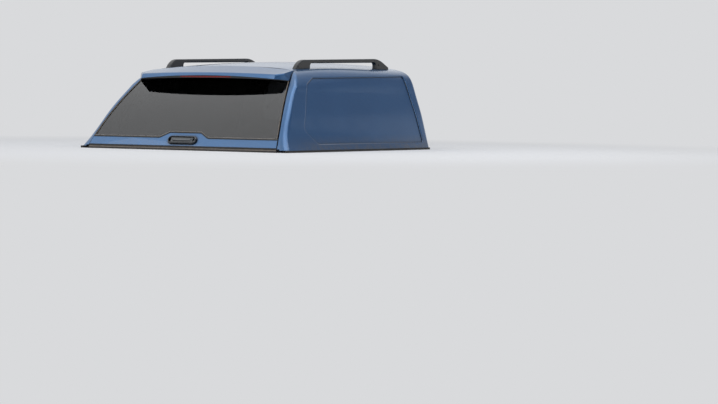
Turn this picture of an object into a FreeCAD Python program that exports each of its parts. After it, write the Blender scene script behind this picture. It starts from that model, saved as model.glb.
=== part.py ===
"""Hardtop canopy, a painted fibreglass cover with a lift-up glass rear door.

Frame: X to the right when seen from behind, Y forward, Z up, millimetres. The origin is at floor level, in
the middle of the canopy's length and width, and the canopy stands on the foam strips under its flange.
"""
import FreeCAD, Part
import math
import os
import Sketcher
from FreeCAD import Placement, Rotation, Vector

SIZES = [
    # the moulding's side view
    ("front_y", 832.0), ("rear_end_y", -843.0), ("seam_y", -394.0), ("middle_y", 165.0),
    ("wall", 5.5), ("flange_width", 45.0), ("flange_thickness", 6.0), ("seal_height", 13.0),
    ("foam_set_in", 4.0), ("foam_front_width", 36.0), ("foam_rear_outer", 18.0), ("foam_rear_inner", 60.0),
    # half of the width at the base, and how far inside it the four stations lie at three levels up the side
    ("base_half", 753.0), ("level_low", 107.0), ("level_middle", 229.0), ("level_high", 353.0),
    ("rear_base_in", 0.0), ("rear_low_in", 50.0), ("rear_middle_in", 91.0), ("rear_high_in", 140.0),
    ("seam_base_in", 2.0), ("seam_low_in", 46.0), ("seam_middle_in", 85.0), ("seam_high_in", 132.5),
    ("mid_base_in", 5.0), ("mid_low_in", 40.0), ("mid_middle_in", 77.0), ("mid_high_in", 122.0),
    ("front_base_in", 8.0), ("front_low_in", 34.0), ("front_middle_in", 68.0), ("front_high_in", 111.5),
    # the soft shoulder and the crowned roof
    ("shoulder_in", 153.0), ("roof_edge_in", 53.0), ("roof_side_in", 67.0),
    ("rear_shoulder", 380.0), ("rear_roof_edge", 412.0), ("rear_roof_side", 428.0), ("rear_roof", 446.0),
    ("seam_shoulder", 404.0), ("seam_roof_edge", 463.0), ("seam_roof_side", 485.0), ("seam_roof", 507.0),
    ("mid_shoulder", 440.0), ("mid_roof_edge", 489.0), ("mid_roof_side", 507.0), ("mid_roof", 539.5),
    ("front_shoulder", 449.0), ("front_roof_edge", 488.0), ("front_roof_side", 504.0), ("front_roof", 536.0),
    ("pillar_radius_base", 60.0), ("pillar_radius_top", 35.0), ("front_edge_radius", 35.0),
    ("pillar_inner_base", 40.0), ("pillar_inner_top", 20.0), ("front_inner_radius", 30.0),
    # the rear frame: an arc in side view
    ("arc_radius", 1683.0), ("arc_foot_y", -835.2), ("arc_top_y", -411.1), ("arc_top_z", 480.0),
    ("rear_frame_depth", 18.0), ("rebate_depth", 12.3), ("door_gap", 5.0), ("lip_width", 20.0),
    ("seam_gap", 8.0), ("roof_flange_depth", 12.0), ("roof_flange_crown", 9.0),
    # the door's outline, seen from behind
    ("door_bottom_in", 70.0), ("door_middle_in", 129.5), ("door_top_in", 235.0),
    ("door_middle_z", 230.0), ("door_top_z", 480.0),
    # the side panels' recess
    ("recess_depth", 8.0), ("recess_bottom_z", 47.0), ("recess_front_bottom_y", 756.0),
    ("recess_front_top_y", 727.0), ("recess_top_front_z", 456.0), ("recess_top_rear_z", 435.0),
    ("recess_top_rear_y", -287.0), ("recess_rear_bottom_y", -447.0),
    ("recess_corner_y", -549.0), ("recess_corner_z", 131.0), ("recess_rear_top_y", -382.0),
    ("recess_rear_top_z", 396.0), ("recess_edge_radius", 6.0),
    ("recess_small_round", 15.0), ("recess_middle_round", 35.0), ("recess_large_round", 80.0),
    # the front window
    ("window_bottom_z", 165.0), ("window_top_z", 425.0), ("window_bottom_in", 193.0),
    ("window_lean", 60.0), ("window_radius", 50.0), ("window_seal_width", 14.0),
    ("window_glass_thickness", 5.0), ("window_seal_proud", 4.0),
    # the door
    ("glass_thickness", 5.0), ("glass_bottom_z", 75.0), ("glass_top_z", 440.0),
    ("strip_height", 26.0), ("strip_depth", 14.0), ("panel_proud", 3.0), ("panel_back", 16.0),
    ("hump_half_top", 115.0), ("hump_half_bottom", 175.0), ("hump_height", 30.0), ("hump_round", 28.0),
    ("seal_width", 12.0), ("seal_clearance", 0.3), ("door_seal_in", 3.0), ("door_seal_bottom_z", 20.0),
    ("top_seal_in", 323.0), ("top_seal_height", 7.0), ("top_seal_lap", 2.0), ("top_seal_depth", 5.0),
    ("between_lips_in", 139.5), ("between_lips_top_z", 140.0),
    # the spoiler
    ("crease_y", -573.0), ("lip_y", -586.0), ("lip_end_y", -566.0), ("spoiler_in", 263.0),
    ("crease_z", 465.0), ("crease_end_z", 455.0), ("lip_z", 447.0), ("lip_end_z", 427.0),
    ("under_z", 433.0), ("under_end_z", 424.0), ("under_set_in", 4.0), ("spoiler_edge", 14.0),
    ("root_z", 432.0), ("root_end_z", 416.0), ("under_panel", 3.0), ("spoiler_tip_run", 58.0),
    ("tip_crease_z", 466.0), ("crease_round", 14.0), ("spoiler_tip_depth", 8.0), ("glass_cover", 1.0),
    ("lens_half", 185.0), ("lens_height", 9.5), ("lens_depth", 16.0), ("lens_bottom_z", 434.3),
    # hinges
    ("hinge_x", 300.0), ("hinge_y", -323.0), ("hinge_z", 470.0), ("hinge_leg", 95.0),
    ("hinge_leg_angle", 30.0), ("hinge_bar", 12.0), ("hinge_thickness", 10.0), ("hinge_pin", 4.0),
    ("pin_clearance", 0.3), ("hinge_foot_z", 400.0), ("hinge_foot_height", 46.0), ("hinge_foot_width", 44.0),
    ("hinge_foot_thickness", 5.0), ("hinge_tail", 200.0), ("bracket_cheek", 5.0), ("bracket_side_gap", 1.0),
    ("bracket_behind", 22.0), ("bracket_ahead", 40.0), ("bracket_below", 14.0), ("bracket_web_up", 17.0),
    # gas struts
    ("strut_in", 273.0), ("strut_shell_y", -325.0), ("strut_shell_z", 410.0),
    ("strut_door_y", -614.6), ("strut_door_z", 262.0), ("tube_radius", 10.0), ("tube_length", 270.0),
    ("tube_start", 16.0), ("rod_radius", 4.0), ("rod_length", 200.0), ("eye_radius", 8.0),
    ("eye_width", 12.0), ("stud_radius", 4.0), ("stud_gap", 0.6), ("strut_plate", 6.0),
    ("strut_plate_gap", 6.0), ("strut_plate_behind", 12.0), ("strut_plate_ahead", 28.0),
    ("tube_cap", 8.0), ("neck_wall", 1.0), ("lug_length", 8.0), ("lug_plate", 5.0),
    ("lug_plate_behind", 60.0), ("lug_plate_ahead", 6.0), ("lug_plate_half", 9.0),
    # handle and latches
    ("handle_z", 57.0), ("handle_length", 208.0), ("handle_height", 53.0), ("handle_proud", 18.0),
    ("handle_well", 8.0), ("handle_round", 9.0), ("handle_rim", 8.0), ("paddle_length", 160.0),
    ("paddle_height", 32.0), ("paddle_thickness", 7.0), ("paddle_round", 3.0), ("paddle_sunk", 4.0),
    ("paddle_pin", 2.0), ("paddle_pin_in", 7.0), ("handle_tail", 8.0),
    ("latch_in", 135.0), ("latch_z", 52.0), ("latch_width", 14.0), ("latch_depth", 32.0),
    ("latch_height", 40.0), ("latch_rod_radius", 3.0), ("striker_radius", 4.0), ("striker_depth", 34.0),
    ("latch_throat", 9.0), ("striker_reach", 6.0), ("striker_length", 50.0), ("striker_post_out", 52.0),
    ("striker_post", 16.0), ("striker_post_below", 6.0), ("pin_gap", 5.0),
    # roof rails
    ("rail_rear_in", 77.0), ("rail_front_in", 61.0), ("rail_width", 30.0), ("rail_round", 7.0),
    ("rail_rear_tip_y", -334.0), ("rail_rear_tip_z", 484.0), ("rail_rear_corner_y", -283.0),
    ("rail_rear_corner_z", 546.0), ("rail_rear_bend", 110.0), ("rail_front_corner_y", 592.0),
    ("rail_front_corner_z", 567.0), ("rail_front_bend", 250.0), ("rail_front_tip_y", 704.0),
    ("rail_front_tip_z", 515.0), ("rail_foot_back", -172.0), ("rail_foot_front", 555.0),
    ("rail_under_rear_z", 527.0), ("rail_under_front_z", 542.0),
    ("rail_inner_round", 18.0), ("rail_joint_rear", -150.0), ("rail_joint_front", 533.0),
]

doc = FreeCAD.newDocument("canopy")
sheet = doc.addObject("Spreadsheet::Sheet", "Sizes")
for row, (alias, value) in enumerate(SIZES, start=1):
    sheet.set(f"A{row}", alias)
    sheet.set(f"B{row}", str(value))
    sheet.setAlias(f"B{row}", alias)
doc.recompute()


class Size:
    """A length that knows both its number and the sheet expression that gives it."""

    def __init__(self, value, text):
        self.value = value
        self.text = text

    def __float__(self):
        return self.value

    def __neg__(self):
        return Size(-self.value, f"(-{self.text})")

    def __add__(self, other):
        return join(self, "+", other)

    def __radd__(self, other):
        return join(other, "+", self)

    def __sub__(self, other):
        return join(self, "-", other)

    def __rsub__(self, other):
        return join(other, "-", self)

    def __mul__(self, other):
        return join(self, "*", other)

    def __rmul__(self, other):
        return join(other, "*", self)

    def __truediv__(self, other):
        return join(self, "/", other)


def as_size(thing):
    return thing if isinstance(thing, Size) else Size(float(thing), f"({float(thing)!r})")


def join(a, sign, b):
    a, b = as_size(a), as_size(b)
    value = {"+": a.value + b.value, "-": a.value - b.value, "*": a.value * b.value,
             "/": a.value / b.value if b.value else 0.0}[sign]
    return Size(value, f"({a.text} {sign} {b.text})")


class Bound:
    """s.name is the size called name, bound to its cell."""

    def __getattr__(self, name):
        return Size(float(sheet.get(name)), f"Sizes.{name}")


class Plain:
    """mm.name is the same size as a plain number, for shapes made with Part's functions."""

    def __getattr__(self, name):
        return float(sheet.get(name))


s = Bound()
mm = Plain()
nodes = []
SIDES = (("left", -1), ("right", 1))
FAR = 1200.0  # beyond the moulding on every side

PLANES = {
    "side": Rotation(Vector(0, 1, 0), Vector(0, 0, 1), Vector(1, 0, 0), "ZXY"),
    "back": Rotation(Vector(1, 0, 0), Vector(0, 0, 1), Vector(0, -1, 0), "ZXY"),
    "plan": Rotation(),
}


def outline(name, plane, corners, bows=None):
    """A closed sketch through the corners; bows gives the radius of an arc that starts at a corner."""
    bows = bows or {}
    sketch = doc.addObject("Sketcher::SketchObject", name)
    sketch.Placement = Placement(Vector(), PLANES[plane])
    points = [Vector(float(x), float(y), 0) for x, y in corners]
    ends = []
    for i, here in enumerate(points):
        there = points[(i + 1) % len(points)]
        if i in bows:
            radius = abs(float(bows[i]))
            half = (there - here).Length / 2
            rise = radius - math.sqrt(radius * radius - half * half)
            across = Vector(here.y - there.y, there.x - here.x, 0).normalize()
            middle = (here + there) * 0.5 + across * (rise if float(bows[i]) > 0 else -rise)
            edge = sketch.addGeometry(Part.Arc(here, middle, there))
            first = 1 if (sketch.Geometry[edge].StartPoint - here).Length < 0.001 else 2
        else:
            edge = sketch.addGeometry(Part.LineSegment(here, there))
            first = 1
        ends.append((edge, first, 3 - first))
    for i, (edge, first, last) in enumerate(ends):
        following = ends[(i + 1) % len(ends)]
        sketch.addConstraint(Sketcher.Constraint("Coincident", edge, last, following[0], following[1]))
    for (edge, first, last), (x, y) in zip(ends, corners):
        for kind, size in (("DistanceX", as_size(x)), ("DistanceY", as_size(y))):
            number = sketch.addConstraint(Sketcher.Constraint(kind, -1, 1, edge, first, size.value))
            sketch.setExpression(f"Constraints[{number}]", size.text)
    for i, bow in bows.items():
        size = as_size(bow) if float(bow) > 0 else -as_size(bow)
        number = sketch.addConstraint(Sketcher.Constraint("Radius", ends[i][0], size.value))
        sketch.setExpression(f"Constraints[{number}]", size.text)
    return sketch


def prism(name, plane, corners, low, high, bows=None):
    """The outline swept straight between two distances along its plane's normal."""
    sketch = outline(name + "_outline", plane, corners, bows)
    solid = doc.addObject("Part::Extrusion", name)
    low, high = as_size(low), as_size(high)
    normal = PLANES[plane].multVec(Vector(0, 0, 1))
    solid.Base = sketch
    solid.DirMode = "Custom"
    solid.Dir = normal
    solid.Solid = True
    solid.setExpression("LengthFwd", high.text)
    solid.setExpression("LengthRev", (-low).text)
    return solid


def cylinder(name, radius, length, x, y, z, direction=Vector(1, 0, 0)):
    """A round bar whose axis starts at x, y, z."""
    bar = doc.addObject("Part::Cylinder", name)
    bar.setExpression("Radius", as_size(radius).text)
    bar.setExpression("Height", as_size(length).text)
    bar.Placement = Placement(Vector(), Rotation(Vector(0, 0, 1), direction))
    for axis, size in zip("xyz", (x, y, z)):
        bar.setExpression(f"Placement.Base.{axis}", as_size(size).text)
    return bar


def keep(node, thing):
    """Give the finished object its node name."""
    thing.Label = node
    nodes.append(thing)
    return thing


def shaped(name, shape):
    feature = doc.addObject("Part::Feature", name)
    feature.Shape = shape
    return feature


def arc_centre():
    """The middle of the rear frame's arc, which runs through its foot and its top."""
    foot, top = Vector(mm.arc_foot_y, 0, 0), Vector(mm.arc_top_y, mm.arc_top_z, 0)
    half = (top - foot) * 0.5
    across = Vector(half.y, -half.x, 0).normalize()
    return foot + half + across * math.sqrt(mm.arc_radius ** 2 - half.Length ** 2)


arc_y, arc_z = arc_centre().x, arc_centre().y

# Half widths and places across, all measured inwards from the base's edge
shoulder_half = mm.base_half - mm.shoulder_in
roof_edge_half = shoulder_half - mm.roof_edge_in
roof_side_half = roof_edge_half - mm.roof_side_in
rail_rear_x, rail_front_x = roof_edge_half - mm.rail_rear_in, roof_edge_half - mm.rail_front_in
door_half_bottom, door_half_middle = mm.base_half - mm.door_bottom_in, mm.base_half - mm.door_middle_in
door_half_top = mm.base_half - mm.door_top_in
window_half_bottom = mm.base_half - mm.window_bottom_in
window_half_top = window_half_bottom - mm.window_lean
spoiler_half = mm.base_half - mm.spoiler_in
strut_x = mm.base_half - mm.strut_in
latch_x = mm.base_half - mm.latch_in

# The moulded skin: cross sections along Y, each a smooth curve up one side, over the roof and down the other


def half_section(prefix, inset):
    """Points up one side of a cross section and over the shoulder to the roof's middle, moved inwards."""
    half = [(mm.base_half - getattr(mm, prefix + "_base_in") - inset, mm.seal_height)]
    for level in ("low", "middle", "high"):
        side_in = getattr(mm, f"{prefix}_{level}_in")
        half.append((mm.base_half - side_in - inset, getattr(mm, "level_" + level)))
    side_z, top_z = getattr(mm, prefix + "_roof_side"), getattr(mm, prefix + "_roof")
    half.append((shoulder_half - inset, getattr(mm, prefix + "_shoulder") - 0.3 * inset))
    half.append((roof_edge_half - 0.6 * inset, getattr(mm, prefix + "_roof_edge") - 0.8 * inset))
    half.append((roof_side_half - 0.3 * inset, side_z - inset))
    half.append((roof_side_half / 2, side_z + 0.76 * (top_z - side_z) - inset))
    return half + [(0, top_z - inset)]


def spacing():
    """Curve parameters in step with the points' distances along the middle section."""
    half = half_section("mid", 0)
    steps = [math.dist(a, b) for a, b in zip(half, half[1:])]
    steps += steps[::-1]
    along = [sum(steps[:i]) / sum(steps) for i in range(len(steps) + 1)]
    return along


def station(y, prefix, inset):
    """One closed cross section of the skin."""
    half = half_section(prefix, inset)
    points = [Vector(-x, y, z) for x, z in half] + [Vector(x, y, z) for x, z in reversed(half[:-1])]
    along = spacing()
    curve = Part.BSplineCurve()
    curve.interpolate(Points=points, Parameters=along)
    breaks = (0, 3, 6, -7, -4, -1)
    edges = []
    for first, last in zip(breaks, breaks[1:]):
        piece = curve.copy()
        piece.segment(along[first], along[last])
        edges.append(piece.toShape())
    edges.append(Part.LineSegment(points[-1], points[0]).toShape())
    return Part.Wire(edges)


def skin(inset, front=0.0):
    """The whole skin as a solid, inset all round, and cut back by front at its front wall."""
    wires = [station(mm.rear_end_y, "rear", inset), station(mm.seam_y, "seam", inset),
             station(mm.middle_y, "mid", inset), station(mm.front_y, "front", inset)]
    solid = Part.makeLoft(wires, True, False)
    if front:
        solid = solid.common(block(-FAR, FAR, -FAR, mm.front_y - front, -FAR, FAR))
    return solid


def block(x0, x1, y0, y1, z0, z1):
    return Part.makeBox(x1 - x0, y1 - y0, z1 - z0, Vector(x0, y0, z0))


def arc_drum(depth):
    """Everything that lies at least depth inside the rear frame's arc."""
    return Part.makeCylinder(mm.arc_radius - depth, 2 * FAR, Vector(-FAR, arc_y, arc_z), Vector(1, 0, 0))


def door_y(z, depth=0.0):
    """The place of the rear surface at a height, depth being measured inwards."""
    radius = mm.arc_radius - depth
    return arc_y - math.sqrt(radius * radius - (z - arc_z) ** 2)


def plan_prism(points, z0, z1):
    face = Part.Face(Part.makePolygon([Vector(x, y, z0) for x, y in points + points[:1]]))
    return face.extrude(Vector(0, 0, z1 - z0))


def back_prism(points, y0, y1):
    """An outline drawn seen from behind, swept along Y."""
    face = Part.Face(Part.makePolygon([Vector(x, y0, z) for x, z in points + points[:1]]))
    return face.extrude(Vector(0, y1 - y0, 0))


def door_half(z):
    """The door's half width at a height: a smooth bow through its three named half widths."""
    low, middle, top = mm.strip_height, mm.door_middle_z, mm.door_top_z
    first = (door_half_middle - door_half_bottom) / (middle - low)
    second = (door_half_top - door_half_middle) / (top - middle)
    bend = (second - first) / (top - low)
    return door_half_bottom + first * (z - low) + bend * (z - low) * (z - middle)


def symmetric(right):
    """A list of corners up the right side, closed by their mirror images."""
    return right + [(-x, z) for x, z in right[::-1]]


def up_door(low, high, steps=8):
    """Heights from low to high, close enough for a bowed edge."""
    return [low + (high - low) * i / steps for i in range(steps + 1)]


def door_outline(grow, low, high):
    """The door seen from behind between two heights, grown sideways."""
    return symmetric([(door_half(z) + grow, z) for z in up_door(low, high)])


def bent_prism(corners, sweep):
    """An outline swept straight, each of its corners rounded to its own radius."""
    points = [point for point, radius in corners]
    solid = Part.Face(Part.makePolygon(points + points[:1])).extrude(sweep)
    for point, radius in corners:
        if radius:
            along = [e for e in solid.Edges
                     if abs(e.tangentAt(e.FirstParameter).dot(sweep)) > 0.99 * sweep.Length]
            ends = [(min((v.Point - point).Length for v in e.Vertexes), i) for i, e in enumerate(along)]
            solid = solid.makeFillet(radius, [along[min(ends)[1]]])
    return solid


def flange_edge(x):
    """The lower edge of the flange that the roof turns down at the doorway, higher in the middle."""
    crown = mm.seam_roof - mm.roof_flange_depth
    if abs(x) <= mm.hinge_x:
        return crown - mm.roof_flange_crown * abs(x) / mm.hinge_x
    end_x, end_z = door_half(mm.door_top_z) - mm.lip_width, mm.door_top_z - mm.roof_flange_depth
    share = (abs(x) - mm.hinge_x) / (end_x - mm.hinge_x)
    return crown - mm.roof_flange_crown + share * (end_z - crown + mm.roof_flange_crown)


def recess_prism(side, grow):
    """The blank side panel's outline with its round corners, swept across one side."""
    small, middle, large = mm.recess_small_round, mm.recess_middle_round, mm.recess_large_round
    corners = [(mm.recess_rear_bottom_y - 0.4 * grow, mm.recess_bottom_z - grow, middle),
               (mm.recess_front_bottom_y + grow, mm.recess_bottom_z - grow, small),
               (mm.recess_front_top_y + grow, mm.recess_top_front_z + grow, small),
               (mm.recess_top_rear_y, mm.recess_top_rear_z + grow, large),
               (mm.recess_rear_top_y - grow, mm.recess_rear_top_z + 0.4 * grow, middle),
               (mm.recess_corner_y - 1.2 * grow, mm.recess_corner_z, middle)]
    points = [(Vector(side * roof_edge_half / 2, y, z), radius + grow) for y, z, radius in corners]
    return bent_prism(points, Vector(side * roof_edge_half, 0, 0))


def rounded_rectangle(half_bottom, half_top, bottom, top, radius, y0, y1):
    """A window shape with round corners, swept along Y."""
    points = [(half_bottom, bottom), (half_top, top), (-half_top, top), (-half_bottom, bottom)]
    solid = back_prism(points, y0, y1)
    upright = [e for e in solid.Edges if abs(e.tangentAt(e.FirstParameter).y) > 0.99]
    return solid.makeFillet(radius, upright)


def middle_of(edge):
    return edge.valueAt((edge.FirstParameter + edge.LastParameter) / 2)


def round_pillars(solid, radius_base, radius_top):
    """Rounds the rear corners, wide at the base and narrower at the roof."""
    for side in (-1, 1):
        for edge in solid.Edges:
            first, last = edge.valueAt(edge.FirstParameter), edge.valueAt(edge.LastParameter)
            at, tall = middle_of(edge), abs(first.z - last.z) > mm.level_middle
            if tall and at.x * side > roof_edge_half and at.y < mm.crease_y:
                radii = (radius_top, radius_base) if first.z > last.z else (radius_base, radius_top)
                solid = solid.makeFillet(*radii, [edge])
                break
    return solid


def round_front(solid, y, radius):
    """Rounds the edge between the front wall and the sides and roof."""
    edges = [e for e in solid.Edges if len(e.Vertexes) == 2 and all(abs(v.Y - y) < 1 for v in e.Vertexes)
             and e.CenterOfMass.z > 2 * mm.seal_height]
    return solid.makeFillet(radius, edges)


def soften_recess(solid, recess, side):
    """Rounds the mouth and the foot of a side recess."""
    walls = recess.Shells[0]
    outside = skin(0.5)
    rims = [e for e in solid.Edges if e.CenterOfMass.x * side > 0 and e.Length > 1
            and walls.distToShape(Part.Vertex(middle_of(e)))[0] < 0.05]
    mouth = [e for e in rims if not outside.isInside(middle_of(e), 0.01, True)]
    return solid.makeFillet(mm.recess_edge_radius, mouth)


def make_shell():
    ahead = block(-FAR, FAR, mm.seam_y, FAR, -FAR, FAR)
    outer = skin(0).common(arc_drum(0).fuse(ahead))
    outer = round_pillars(outer, mm.pillar_radius_base, mm.pillar_radius_top)
    outer = round_front(outer, mm.front_y, mm.front_edge_radius)
    inner_ahead = block(-FAR, FAR, mm.seam_y + mm.wall, FAR, -FAR, FAR)
    cavity = skin(mm.wall, mm.wall).common(arc_drum(mm.rear_frame_depth).fuse(inner_ahead))
    cavity = round_pillars(cavity, mm.pillar_inner_base, mm.pillar_inner_top)
    cavity = round_front(cavity, mm.front_y - mm.wall, mm.front_inner_radius)
    for name, side in SIDES:
        recess = recess_prism(side, 0)
        outer = soften_recess(outer.cut(recess.cut(skin(mm.recess_depth))), recess, side)
        cavity = cavity.cut(recess_prism(side, mm.wall).cut(skin(mm.recess_depth + mm.wall)))
    floor_z = mm.seal_height + mm.flange_thickness
    cavity = cavity.common(block(-FAR, FAR, -FAR, FAR, floor_z, FAR))
    body = outer.cut(cavity)
    rear_inside = mm.base_half - mm.rear_base_in - mm.flange_width
    front_inside = mm.base_half - mm.front_base_in - mm.flange_width
    front = mm.front_y - mm.flange_width
    body = body.cut(plan_prism([(rear_inside, -FAR), (front_inside, front), (-front_inside, front),
                                (-rear_inside, -FAR)], 0, floor_z + 1))
    above_roof = mm.rail_front_corner_z
    rebate = back_prism(door_outline(mm.door_gap, 0, above_roof), -FAR, mm.seam_y)
    body = body.cut(rebate.cut(arc_drum(mm.rebate_depth)))
    lip = -mm.lip_width
    below_roof = mm.door_top_z - mm.roof_flange_depth
    opening = door_outline(lip, 0, below_roof)
    top = len(opening) // 2
    opening[top:top] = [(x, flange_edge(x)) for x in (mm.hinge_x, 0, -mm.hinge_x)]
    body = body.cut(back_prism(opening, -FAR, mm.seam_y + mm.wall + 0.01))
    body = body.cut(back_prism(door_outline(lip, mm.door_middle_z, above_roof), -FAR, mm.seam_y))
    body = body.cut(rounded_rectangle(window_half_bottom, window_half_top, mm.window_bottom_z,
                                      mm.window_top_z, mm.window_radius, mm.front_y - mm.flange_width, FAR))
    return body


shell = keep("shell", shaped("Shell", make_shell()))

# Foam strips under the flange, which the canopy stands on
rear_base, front_base = s.base_half - s.rear_base_in, s.base_half - s.front_base_in
for name, side in SIDES:
    inside = s.flange_width - s.foam_set_in
    corners = [(side * (rear_base - s.foam_set_in), s.rear_end_y + s.foam_rear_outer),
               (side * (front_base - s.foam_set_in), s.front_y - s.foam_set_in),
               (side * (front_base - inside), s.front_y - s.foam_set_in),
               (side * (rear_base - inside), s.rear_end_y + s.foam_rear_inner)]
    keep(f"base_seal_{name}", prism(f"BaseSeal{name}", "plan", corners, 0, s.seal_height))
half = front_base - s.flange_width + s.foam_set_in
foam_front = s.front_y - s.foam_set_in
foam_back = foam_front - s.foam_front_width
keep("base_seal_front", prism("BaseSealFront", "plan", [(-half, foam_back), (half, foam_back),
                                                        (half, foam_front), (-half, foam_front)],
                              0, s.seal_height))


# The front window in its rubber
def grown_window(grow, y0, y1):
    return rounded_rectangle(window_half_bottom + grow, window_half_top + grow,
                             mm.window_bottom_z - grow, mm.window_top_z + grow, mm.window_radius + grow,
                             y0, y1)


front, back = mm.front_y, mm.front_y - mm.wall
proud = mm.window_seal_proud
lapped = mm.window_seal_width / 2
ring = grown_window(lapped, back - proud, front + proud)
ring = ring.cut(grown_window(-lapped, back - 2 * proud, front + 2 * proud))
wall_slot = grown_window(2 * lapped, back, front).cut(grown_window(0, back - proud, front + proud))
glass_half = mm.window_glass_thickness / 2
glass_slot = grown_window(-lapped / 2, (front + back) / 2 - glass_half, (front + back) / 2 + glass_half)
keep("front_window_seal", shaped("FrontWindowSeal", ring.cut(wall_slot).cut(glass_slot)))
keep("front_window_glass", shaped("FrontWindowGlass", glass_slot))

# The rear door: slices of the arc, cut to the outline seen from behind


def door_piece(outer_depth, inner_depth, points, shape=back_prism):
    """An outline seen from behind, cut out of the layer between two depths under the rear frame's arc."""
    layer = shape(points, -FAR, mm.hinge_y).common(arc_drum(outer_depth))
    return layer.cut(arc_drum(inner_depth))


def hump_prism(points, y0, y1):
    """The painted panel's outline, with the corners of its hump rounded."""
    solid = back_prism(points, y0, y1)
    corners = [e for e in solid.Edges if abs(e.tangentAt(e.FirstParameter).y) > 0.99
               and e.CenterOfMass.z > mm.glass_bottom_z - 1
               and abs(e.CenterOfMass.x) < mm.hump_half_bottom + 1]
    return solid.makeFillet(mm.hump_round, corners)


hump = [(mm.hump_half_bottom, mm.glass_bottom_z), (mm.hump_half_top, mm.glass_bottom_z + mm.hump_height)]
hump += [(-x, z) for x, z in hump[::-1]]
glass_outline = door_outline(0, mm.glass_bottom_z, mm.glass_top_z)
panel_outline = symmetric([(door_half_bottom, mm.strip_height),
                           (door_half(mm.glass_bottom_z), mm.glass_bottom_z)] + hump[:2])
strip_outline = symmetric([(door_half_bottom, 0), (door_half_bottom, mm.strip_height)])
handle_lug = Placement(Vector(0, door_y(mm.handle_z), mm.handle_z),
                       Rotation(Vector(1, 0, 0), math.degrees(math.acos(
                           (mm.handle_z - arc_z) / mm.arc_radius))))


def capsule(length, height, z0, z1):
    """A long oval plate across the door, drawn in the handle's own frame."""
    half, r = (length - height) / 2, height / 2
    top = Part.LineSegment(Vector(-half, r, z0), Vector(half, r, z0))
    bottom = Part.LineSegment(Vector(half, -r, z0), Vector(-half, -r, z0))
    right = Part.Arc(Vector(half, r, z0), Vector(half + r, 0, z0), Vector(half, -r, z0))
    left = Part.Arc(Vector(-half, -r, z0), Vector(-half - r, 0, z0), Vector(-half, r, z0))
    face = Part.Face(Part.Wire([e.toShape() for e in (top, right, bottom, left)]))
    solid = face.extrude(Vector(0, 0, z1 - z0))
    solid.Placement = handle_lug
    return solid


well_length, well_height = mm.handle_length - 2 * mm.handle_rim, mm.handle_height - 2 * mm.handle_rim
well = capsule(well_length, well_height, -mm.handle_well, mm.handle_proud + 1)
oval = capsule(mm.handle_length, mm.handle_height, -mm.panel_back - mm.handle_tail, mm.handle_proud)
brim = [e for e in oval.Edges if handle_lug.inverse().multVec(e.CenterOfMass).z > mm.handle_proud - 0.1]
keep("handle_housing", shaped("HandleHousing", oval.makeFillet(mm.handle_round, brim).cut(well)))
keep("door_glass", shaped("DoorGlass", door_piece(0, mm.glass_thickness, glass_outline).cut(
    hump_prism(panel_outline, -FAR, mm.crease_y)).cut(oval)))


def backed(name, proud, depth, points, shape=back_prism):
    """A door edge piece: thin where it laps the frame's lip, deeper between the lips."""
    between = mm.base_half - mm.between_lips_in
    behind = symmetric([(between, 0), (between, mm.between_lips_top_z)])
    deep = door_piece(mm.glass_thickness, depth, points, shape).common(back_prism(behind, -FAR, 0))
    thin = door_piece(-proud, mm.glass_thickness, points, shape)
    return shaped(name, thin.fuse(deep).removeSplitter().cut(oval))


keep("door_bottom_panel", backed("DoorBottomPanel", mm.panel_proud, mm.panel_back, panel_outline,
                                 hump_prism))
keep("door_bottom_seal", backed("DoorBottomSeal", 0, mm.strip_depth, strip_outline))

# The paddle turns on two trunnions near the top of its well
trunnion = Vector(0, well_height / 2 - mm.paddle_pin_in,
                  mm.handle_proud - mm.paddle_sunk - mm.paddle_thickness / 2)
end_round = math.sqrt((well_height / 2) ** 2 - (trunnion.y + mm.paddle_pin) ** 2)
reach = (well_length - well_height) / 2 + end_round - mm.pin_clearance
paddle = Part.makeBox(mm.paddle_length, mm.paddle_height, mm.paddle_thickness,
                      Vector(-mm.paddle_length / 2, -mm.paddle_height / 2,
                             trunnion.z - mm.paddle_thickness / 2))
paddle = paddle.makeFillet(mm.paddle_round, paddle.Edges)
paddle = paddle.fuse(Part.makeCylinder(mm.paddle_pin, 2 * reach, Vector(-reach, trunnion.y, trunnion.z),
                                       Vector(1, 0, 0))).removeSplitter()
paddle.Placement = handle_lug
keep("handle_paddle", shaped("HandlePaddle", paddle))
print("paddle axis", handle_lug.multVec(trunnion))

# Rubber on the door frame's lip
for name, side in SIDES:
    heights = up_door(mm.door_seal_bottom_z, mm.glass_top_z)
    inner = [(door_half(z) - mm.door_seal_in - mm.seal_width, z) for z in heights]
    outer = [(door_half(z) - mm.door_seal_in, z) for z in heights]
    points = [(side * x, z) for x, z in inner + outer[::-1]]
    keep(f"door_seal_{name}", shaped(f"DoorSeal{name}", door_piece(
        mm.glass_thickness + mm.seal_clearance, mm.rebate_depth, points)))
seal_end = mm.base_half - mm.top_seal_in
bends = (-seal_end, -mm.hinge_x, 0, mm.hinge_x, seal_end)
top_seal = [(x, flange_edge(x) - mm.top_seal_lap) for x in bends]
top_seal += [(x, z + mm.top_seal_height) for x, z in top_seal[::-1]]
keep("door_seal_top", shaped("DoorSealTop", back_prism(top_seal, mm.seam_y - mm.top_seal_depth, mm.seam_y)))


# The spoiler: side profiles at stations across the door, joined by one smooth skin, with a facet at each end
def seam_height(x):
    """The roof's height along the seam, from the skin's cross section."""
    edge, top = mm.seam_roof_side, mm.seam_roof
    return top - (top - edge) * (x / roof_side_half) ** 2


def bowed(name, share):
    """A height of the spoiler, bowed from its middle value to its end value."""
    middle, end = getattr(mm, name + "_z"), getattr(mm, name + "_end_z")
    return middle + share * share * (end - middle)


def closed(x, points):
    return Part.makePolygon([Vector(x, y, z) for y, z in points + points[:1]])


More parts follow.
